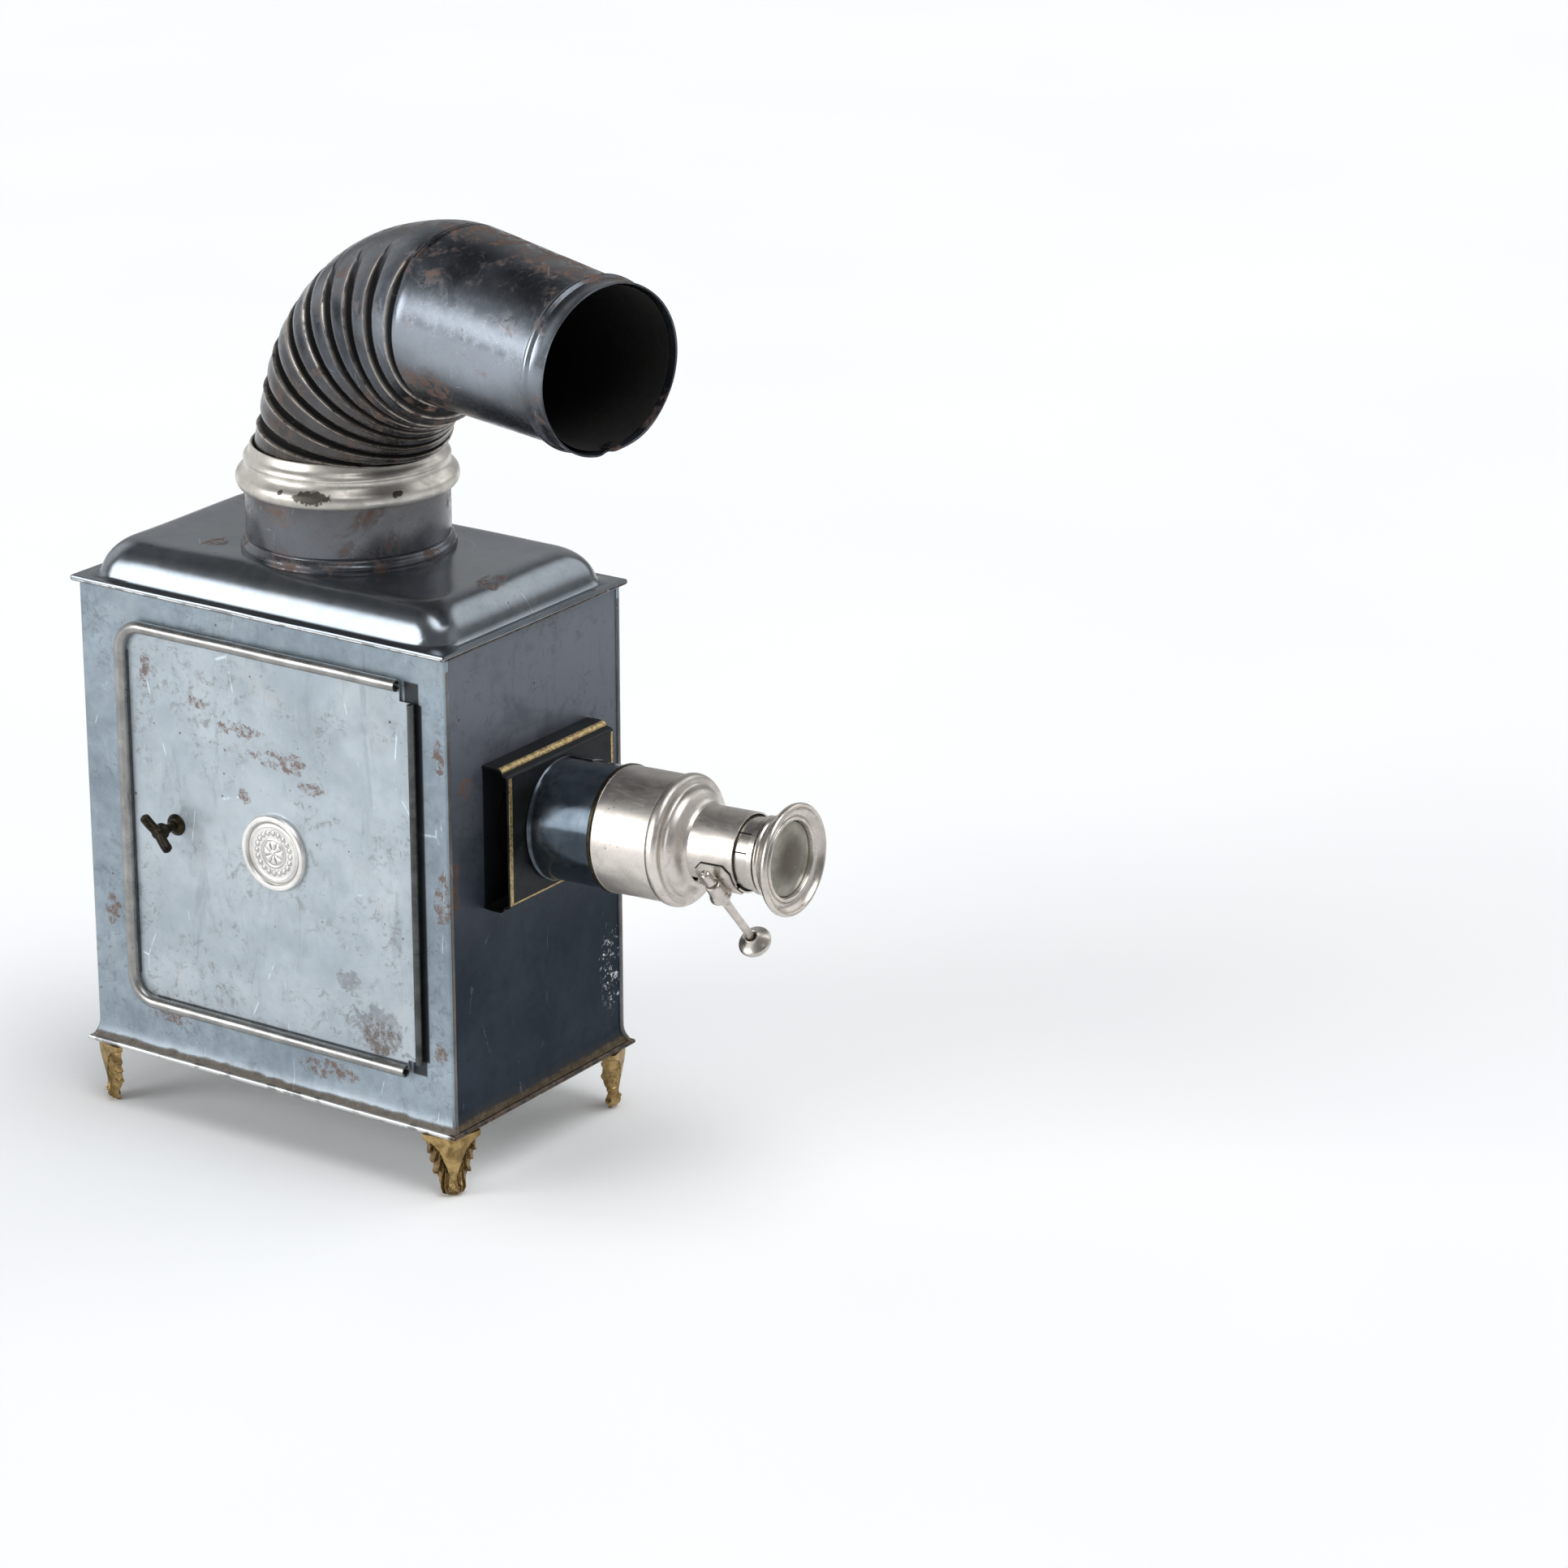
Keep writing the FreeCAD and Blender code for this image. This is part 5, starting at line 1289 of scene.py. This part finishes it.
def door_sheet():
    right = HINGE.x - 1.0
    columns, levels = 40, 44
    rows = []
    for i in range(levels + 1):
        z = DOOR_LOW + (DOOR_TOP - DOOR_LOW) * i / levels
        left = corner_reach(z)
        front, back = [], []
        for k in range(columns + 1):
            x = left + (right - left) * k / columns
            deep = smooth_step(2, 14, x - DOOR_LEFT) * smooth_step(2, 14, z - DOOR_LOW) * \
                smooth_step(2, 14, DOOR_TOP - z) * smooth_step(0, 10, right - x)
            wave = unevenness(Vector((x, 9, z)), 34, 0.5) * deep
            front.append(Vector((x, DOOR_FACE + wave, z)))
            back.append(Vector((x, DOOR_FACE + DOOR_SHEET + wave, z)))
        rows.append(front + list(reversed(back)))
    # the sheet stops short of the bead's open ends at the hinge side, and has a hole for the key
    through = (DOOR_FACE - 4, DOOR_FACE + 4)
    holes = []
    for z0, z1 in ((DOOR_LOW - 5, HINGE_LOW), (HINGE_HIGH, DOOR_TOP + 5)):
        notch = ((BEAD_END, z0), (right + 5, z0), (right + 5, z1), (BEAD_END, z1))
        holes.append(plug_y(notch, through))
    holes.append(plug_y(circle(1.66, 20, (KEY.x, KEY.z)), through))
    piece("door_sheet", [skin(rows, caps=True)], "door", door_blue, ["door_panel"],
          cut=holes)


def door_bead():
    """A hollow bead, open at its two ends."""
    n = 24
    section = circle(BEAD_R, n)
    path = bead_path()
    outer, outer_faces = sweep(path, section, Y)
    inner, inner_faces = sweep(path, [(u * 0.74, v * 0.74) for u, v in section], Y)
    shift = len(outer)
    faces = outer_faces[:-2] + [tuple(i + shift for i in f) for f in inner_faces[:-2]]
    for start in (0, (len(path) - 1) * n):
        for j in range(n):
            m = (j + 1) % n
            faces.append((start + j, start + m, shift + start + m, shift + start + j))
    piece("door_bead", [(outer + inner, faces)], "door", bead_metal)


def hinge_roll(name, z0, z1, body):
    """A sheet rolled once round the hinge pin, with a gap where its end meets it."""
    turn, start = math.radians(342), math.radians(100)
    sweep_of = [start - turn * k / 28 for k in range(29)]
    ring = []
    for r, way in ((1.45, sweep_of), (0.9, reversed(sweep_of))):
        ring += [(HINGE.x + r * math.cos(a), HINGE.y + r * math.sin(a)) for a in way]
    rows = [[Vector((x, y, z0 + (z1 - z0) * k / 12)) for x, y in ring] for k in range(13)]
    piece(name, [skin(rows, caps=True)], body, knuckle_iron)


def hinge():
    low, high = (corner.z for corner in span("hinge_leaf"))
    hinge_roll("door_knuckle_low", HINGE_LOW, low - 0.15, "door")
    hinge_roll("door_knuckle_high", high + 0.15, HINGE_HIGH, "door")
    hinge_roll("hinge_middle", low, high, "house")
    outline = ((-5.2, -HY - 0.02), (-5.2, -HY - 0.5), (-0.2, -HY - 0.9), (-0.2, HINGE.y + 1.2),
               (0.5, HINGE.y + 1.2), (0.5, -HY - 0.02))
    strap = [[Vector((HINGE.x + x, y, z)) for x, y in outline] for z in (low, high)]
    piece("hinge_strap", [skin(strap, caps=True)], "house", wall_blue, ["hinge_leaf"])


def medallion():
    """A pressed plate: rim, thin inner ring, a ring of small beads and an eight-petalled flower."""
    lo, hi = span("medallion")
    middle = (lo + hi) / 2
    big = (hi.x - lo.x) / 2
    bead_ring, beads = 8.2, 20
    rings, around = 64, angles(240)

    def to_bead(r, a):
        """The distance to the nearest bead's middle."""
        turn = (a * beads / (2 * PI) + 0.5) % 1 - 0.5
        return math.hypot(turn * 2 * PI * bead_ring / beads, r - bead_ring)

    def height(r, a):
        h = 1.15
        h += 1.15 * smooth_step(big - 3.0, big - 2.2, r)
        h -= 1.1 * smooth_step(big - 0.9, big, r) ** 2
        h += 0.30 * math.exp(-((r - (big - 4.6)) / 0.32) ** 2)
        h += 0.26 * math.exp(-((r - 5.6) / 0.25) ** 2)
        h += 0.45 * max(0.0, 1 - (to_bead(r, a) / 0.85) ** 2)
        h += 0.55 * abs(math.cos(4 * a)) ** 0.7 * smooth_step(4.9, 4.0, r) * smooth_step(0.9, 2.0, r)
        h += 0.7 * max(0.0, 1 - (r / 1.3) ** 2)
        return h

    def hollow(r, a):
        """Painted shade in the low places round the rim, the beads and the flower, and a little over the
        rest of the middle.
        """
        at_rim = 0.9 * math.exp(-((r - (big - 3.2)) / 0.4) ** 2)
        at_bead = 0.75 * math.exp(-((to_bead(r, a) - 1.0) / 0.3) ** 2)
        at_ring = 0.6 * math.exp(-((r - 6.1) / 0.35) ** 2) + 0.6 * math.exp(-((r - 4.9) / 0.4) ** 2)
        between_petals = 0.8 * max(0.0, 1 - 2.2 * abs(math.cos(4 * a))) * smooth_step(4.9, 4.2, r)
        return min(1.0, max(at_rim, at_bead, at_ring, between_petals, 0.12))

    rows, dust_and_shade = [], []
    for r in [big * i / rings for i in range(rings + 1)]:
        dust_and_shade.append([hollow(r, a) if r < big - 2.6 else 0.0 for a in around])
        rows.append([Vector((middle.x + r * math.cos(a), hi.y - height(r, a), middle.z + r * math.sin(a)))
                     for a in around])
    rows.append([Vector((p.x, hi.y, p.z)) for p in rows[-1]])
    rows.append([Vector((middle.x, hi.y, middle.z))] * len(around))
    points, faces = skin(rows)
    obj = piece("medallion_flower", [(points, faces)], "door", medal_nickel, ["medallion"],
                sharp=60)
    # painted shade: the low places darker
    shade_attribute(obj, points, "fold", dust_and_shade)


def wing_key():
    turned = [(0, -4.9), (1.55, -4.9), (1.55, 1.2), (1.9, 1.6), (1.9, 5.0, 1.0), (2.2, 7.0, 0.8),
              (3.3, 8.2, 0.3), (3.3, 9.0, 0.3), (2.8, 10.2, 0.8), (2.6, 11.9, 0.8), (2.0, 12.9, 0.6),
              (0, 13.1)]
    stem = lathe(rounded(turned, 0.3, 3, closed=False), 40)
    piece("key_stem", [stem], "latch", key_brass, ["wing_key"], KEY_STEM)
    wings = []
    for side in (1, -1):
        rows = []
        for t in [k / 20 for k in range(21)]:
            end = math.sqrt(max(0.0, 1 - max(0.0, (t - 0.80) / 0.20) ** 2))
            wide = (1.95 - 0.15 * math.sin(PI * t)) * (0.25 + 0.75 * end)
            low, high = 9.6 + 0.9 * t, 12.9 + 1.2 * math.sin(PI * 0.62 * t)
            middle, half = (low + high) / 2, (high - low) / 2 * (0.35 + 0.65 * end)
            row = []
            for a in angles(20):
                u, v = math.cos(a), math.sin(a)
                row.append(Vector((middle + half * math.copysign(abs(v) ** 0.7, v),
                                   side * (0.6 + 8.3 * t), wide * math.copysign(abs(u) ** 0.7, u))))
            rows.append(row)
        wings.append(skin(rows, caps=True))
    roll = Matrix.Rotation(math.radians(-44), 4, "X")
    piece("key_wing", wings, "latch", key_brass, (), KEY_STEM @ roll)


def latch_washer():
    ring = [(1.7, 0), (4.4, 0), (4.4, 0.5, 0.3), (3.9, 1.0, 0.6), (3.1, 1.9, 0.5), (2.0, 2.2, 0.4),
            (1.7, 2.0)]
    piece("latch_boss", [lathe(rounded(ring, 0.2), 48)], "door", key_brass,
          ["latch_washer"], KEY_STEM)


door_sheet()
door_bead()
hinge()
medallion()
wing_key()
latch_washer()


# ---- feet -------------------------------------------------------------------------------------
LEAF_EDGE = [(0.0, 2.3), (0.6, 3.4), (1.4, 4.3), (2.6, 4.9), (4.7, 5.5), (6.4, 5.9), (8.6, 6.6), (9.1, 7.8),
             (9.8, 8.6), (11.5, 8.1), (13.6, 8.4), (14.0, 9.3), (14.7, 9.9), (16.5, 9.5), (17.6, 9.8),
             (18.0, 10.5), (18.8, 11.0), (21.0, 10.9), (23.0, 11.5), (24.6, 12.6), (30.0, 13.0)]
PANEL_EDGE = [(0.0, 0.0), (6.0, 0.1), (9.2, 1.2), (12.0, 2.0), (16.0, 3.6), (19.5, 5.2), (21.3, 6.9),
              (22.6, 8.6), (23.6, 11.0), (24.4, 14.0), (30.0, 14.0)]
# each rib's course down the leaf: (height, distance from the fold)
RIBS = [[(9.0, 7.4), (9.9, 7.0), (10.8, 5.7), (13.6, 4.9), (19.0, 4.9)],
        [(14.3, 8.4), (15.0, 7.3), (17.7, 6.7), (21.6, 6.9)],
        [(18.2, 9.9), (19.8, 8.9), (23.2, 8.9)],
        [(0.9, 2.2), (1.8, 3.7), (4.6, 4.4), (8.3, 3.9), (11.8, 3.2), (15.4, 3.5)],
        [(1.6, 1.3), (2.4, 2.4), (4.7, 2.8), (8.9, 2.4), (13.0, 2.2)]]


def along(course, h):
    """The value of a course of (height, value) points at a height."""
    for (h0, v0), (h1, v1) in zip(course, course[1:]):
        if h <= h1:
            return v0 + (v1 - v0) * smooth_step(h0, h1, h) if h > h0 else v0
    return course[-1][1]


def leaf_relief(u, h):
    """Height of the pressing and its darkness at a distance from the fold."""
    panel = along(PANEL_EDGE, h)
    inside = smooth_step(panel + 0.35, panel - 0.35, u)
    relief = 0.95 * inside
    dark = 0.75 * math.exp(-((u - panel - 0.45) / 0.35) ** 2)
    dark *= smooth_step(7, 10, h) * smooth_step(23, 22, h)
    for rib in RIBS:
        low, high = rib[0][0], rib[-1][0]
        if low - 0.8 < h < high + 1.2:
            d = u - along(rib, h)
            fade = smooth_step(low - 0.8, low + 0.4, h) * smooth_step(high + 1.2, high - 0.8, h)
            ridge = math.exp(-d / 1.5) if d > 0 else math.exp(-(d / 0.28) ** 2)
            relief = max(relief, 1.15 * ridge * fade * (1 - inside))
            dark = max(dark, 0.85 * fade * math.exp(-((d + 0.75) / 0.4) ** 2) * (1 - inside))
    for cu, ch, size, tall in ((2.0, 2.7, 1.25, 0.9), (0.0, 4.4, 0.9, 0.8)):
        ball = 1 - ((u - cu) / size) ** 2 - ((h - ch) / (size * 1.15)) ** 2
        relief = max(relief, tall * math.sqrt(max(0.0, ball)) + 0.3)
    return relief, min(1.0, dark)


def foot(name, sx, sy):
    """A pressed leaf bent round the corner, leaning in towards a toe that curls out."""
    half_columns, levels, wall = 56, 120, 0.9
    lo, hi = span(name)
    corner = Vector((hi.x if sx > 0 else -lo.x, hi.y if sy > 0 else -lo.y))
    fold_way = Vector((0.707, 0.707))                # out from the corner's fold
    rows, hollows = [], []
    for i in range(levels + 1):
        h = UNDERSIDE * i / levels
        edge = along(LEAF_EDGE, h)
        lean = 2.6 + 2.4 * smooth_step(26, 2, h)
        curl = 1.5 * math.exp(-((h - 4.2) / 2.1) ** 2) - 1.0 * smooth_step(2.4, 0, h)
        fold_at = corner - Vector((lean, lean)) + Vector((curl, curl)) * 0.7
        outer, inner, dark = [], [], []
        for k in range(-half_columns, half_columns + 1):
            u = edge * abs(k) / half_columns
            # each half of the leaf opens a little wider than the house's corner
            leaf_way = Vector((-0.972, 0.235)) if k < 0 else Vector((0.235, -0.972))
            out = Vector((0.235, 0.972)) if k < 0 else Vector((0.972, 0.235))
            side = 1 - 0.5 * math.exp(-u / 0.7)
            turn = smooth_step(0.0, 1.4, u)
            ahead = (fold_way * (1 - turn) + out * turn).normalized()
            relief, fold = leaf_relief(u, h)
            thin = 1 - 0.6 * smooth_step(edge - 0.5, edge, u)
            p = fold_at + leaf_way * u + ahead * (relief * side * thin * 1.9)
            q = fold_at + leaf_way * u - fold_way * wall
            outer.append(Vector((p.x * sx, p.y * sy, h)))
            inner.append(Vector((q.x * sx, q.y * sy, h)))
            dark.append(fold)
        rows.append(outer + list(reversed(inner)))
        hollows.append(dark + [0.0] * len(inner))
    points, faces = skin(rows, caps=True)
    obj = piece(name.replace("foot", "acanthus"), [(points, faces)], "house", foot_brass, [name],
                sharp=70)
    shade_attribute(obj, points, "fold", hollows)


for foot_name, side_x, side_y in (("foot_front_near", 1, -1), ("foot_front_far", 1, 1),
                                  ("foot_rear_near", -1, -1), ("foot_rear_far", -1, 1)):
    foot(foot_name, side_x, side_y)


# ---- finishes of the CAD nodes that stay ---------------------------------------------------------
FINISHES = (
    (rim_tin, ["base_plate"]), (barrel_nickel, ["barrel_nose"]), (lens_glass, ["rear_lens"]),
    (inner_iron, ["slide_springs", "lamp_guides", "reflector_bracket"]),
    (fine_nickel, ["rear_lens_ring", "front_lens_ring", "focus_rack"]),
    # painted shade: the condenser inside the dark stage is black, its front glass opaque and dark
    (soot_and_shade_black, ["condenser_cell", "condenser_ring"]), (shaded_glass, ["condenser_lens_front"]),
    (clear_glass, ["condenser_lens_rear", "lamp_glass"]), (bead_metal, ["latch_tongue"]),
    (tinplate, ["hinge_pin", "winder_shaft", "reflector"]), (wick_cotton, ["wick"]),
    (lamp_brass, ["focus_pinion", "latch_nut", "lamp_tank", "filler_cap", "burner_collar",
                  "burner_body", "wick_tube", "wick_wheel", "winder_knob"]),
)
for finish, names in FINISHES:
    for node_name in names:
        materials = frame["nodes"][node_name].data.materials
        materials.clear()
        materials.append(finish)


# ---- floor, light and camera ---------------------------------------------------------------------
def floor():
    size = 12.0
    mesh = bpy.data.meshes.new("floor")
    corners = [(-size, -size, 0), (size, -size, 0), (size, size, 0), (-size, size, 0)]
    mesh.from_pydata(corners, [], [(0, 1, 2, 3)])
    mesh.materials.append(pale_floor())
    obj = add_object("floor", mesh)


AMBIENT = 0.24
# (towards, full inside this many degrees, gone outside that many, radiance; below 0 is a dark flag)
LAMPS = [((-0.52, -0.80, 0.27), 12, 25, 5.9),
         ((0.35, -0.05, 0.94), 8, 30, 4.3),
         ((0.34, 0.78, 0.50), 10, 28, 1.5),
         ((0.93, 0.30, 0.22), 10, 32, 0.35),
         ((-0.9, 0.1, 0.35), 12, 30, 0.9),
         ((-0.52, 0.78, 0.34), 8, 28, 0.26),
         ((-0.50, 0.05, 0.86), 14, 34, -0.18)]


def studio():
    """A pale room that lights the floor evenly, with soft bright areas like studio lamps."""
    world = bpy.data.worlds.new("studio")
    bpy.context.scene.world = world
    world.use_nodes = True
    tree = world.node_tree
    tree.nodes.clear()
    out = tree.nodes.new("ShaderNodeOutputWorld")
    back = tree.nodes.new("ShaderNodeBackground")
    coords = tree.nodes.new("ShaderNodeTexCoord")
    total = tree.nodes.new("ShaderNodeValue").outputs[0]
    total.default_value = AMBIENT
    for way, inner, outer, power in LAMPS:
        dot = tree.nodes.new("ShaderNodeVectorMath")
        dot.operation = "DOT_PRODUCT"
        tree.links.new(coords.outputs["Generated"], dot.inputs[0])
        dot.inputs[1].default_value = Vector(way).normalized()
        lobe = tree.nodes.new("ShaderNodeMapRange")
        lobe.interpolation_type = "SMOOTHSTEP"
        lobe.inputs["From Min"].default_value = math.cos(math.radians(outer))
        lobe.inputs["From Max"].default_value = math.cos(math.radians(inner))
        lobe.inputs["To Max"].default_value = power
        tree.links.new(dot.outputs["Value"], lobe.inputs["Value"])
        both = tree.nodes.new("ShaderNodeMath")
        tree.links.new(total, both.inputs[0])
        tree.links.new(lobe.outputs["Result"], both.inputs[1])
        total = both.outputs[0]
    tree.links.new(total, back.inputs["Strength"])
    back.inputs["Color"].default_value = (0.97, 0.985, 1.0, 1)
    tree.links.new(back.outputs[0], out.inputs[0])


# the camera's place in millimetres from the middle of the house, and its right and backward directions
CAMERA_AT = Vector((1230.496, -1527.775, 839.750))
CAMERA_RIGHT = Vector((0.829946, 0.557843, 0.000519))
CAMERA_BACK = Vector((0.524701, -0.780954, 0.338822))
FOCAL_LENGTH, SENSOR_WIDTH = 120.99, 36.0


def camera():
    data = bpy.data.cameras.new("camera")
    data.sensor_width = SENSOR_WIDTH
    data.lens = FOCAL_LENGTH
    data.clip_start, data.clip_end = 0.1, 60
    obj = add_object("camera", data)
    axes = (CAMERA_RIGHT, CAMERA_BACK.cross(CAMERA_RIGHT), CAMERA_BACK)
    obj.matrix_world = Matrix(axes).transposed().to_4x4()
    obj.location = HOUSE + CAMERA_AT * MM
    bpy.context.scene.camera = obj


floor()
studio()
camera()
bpy.context.scene.view_settings.view_transform = "Standard"
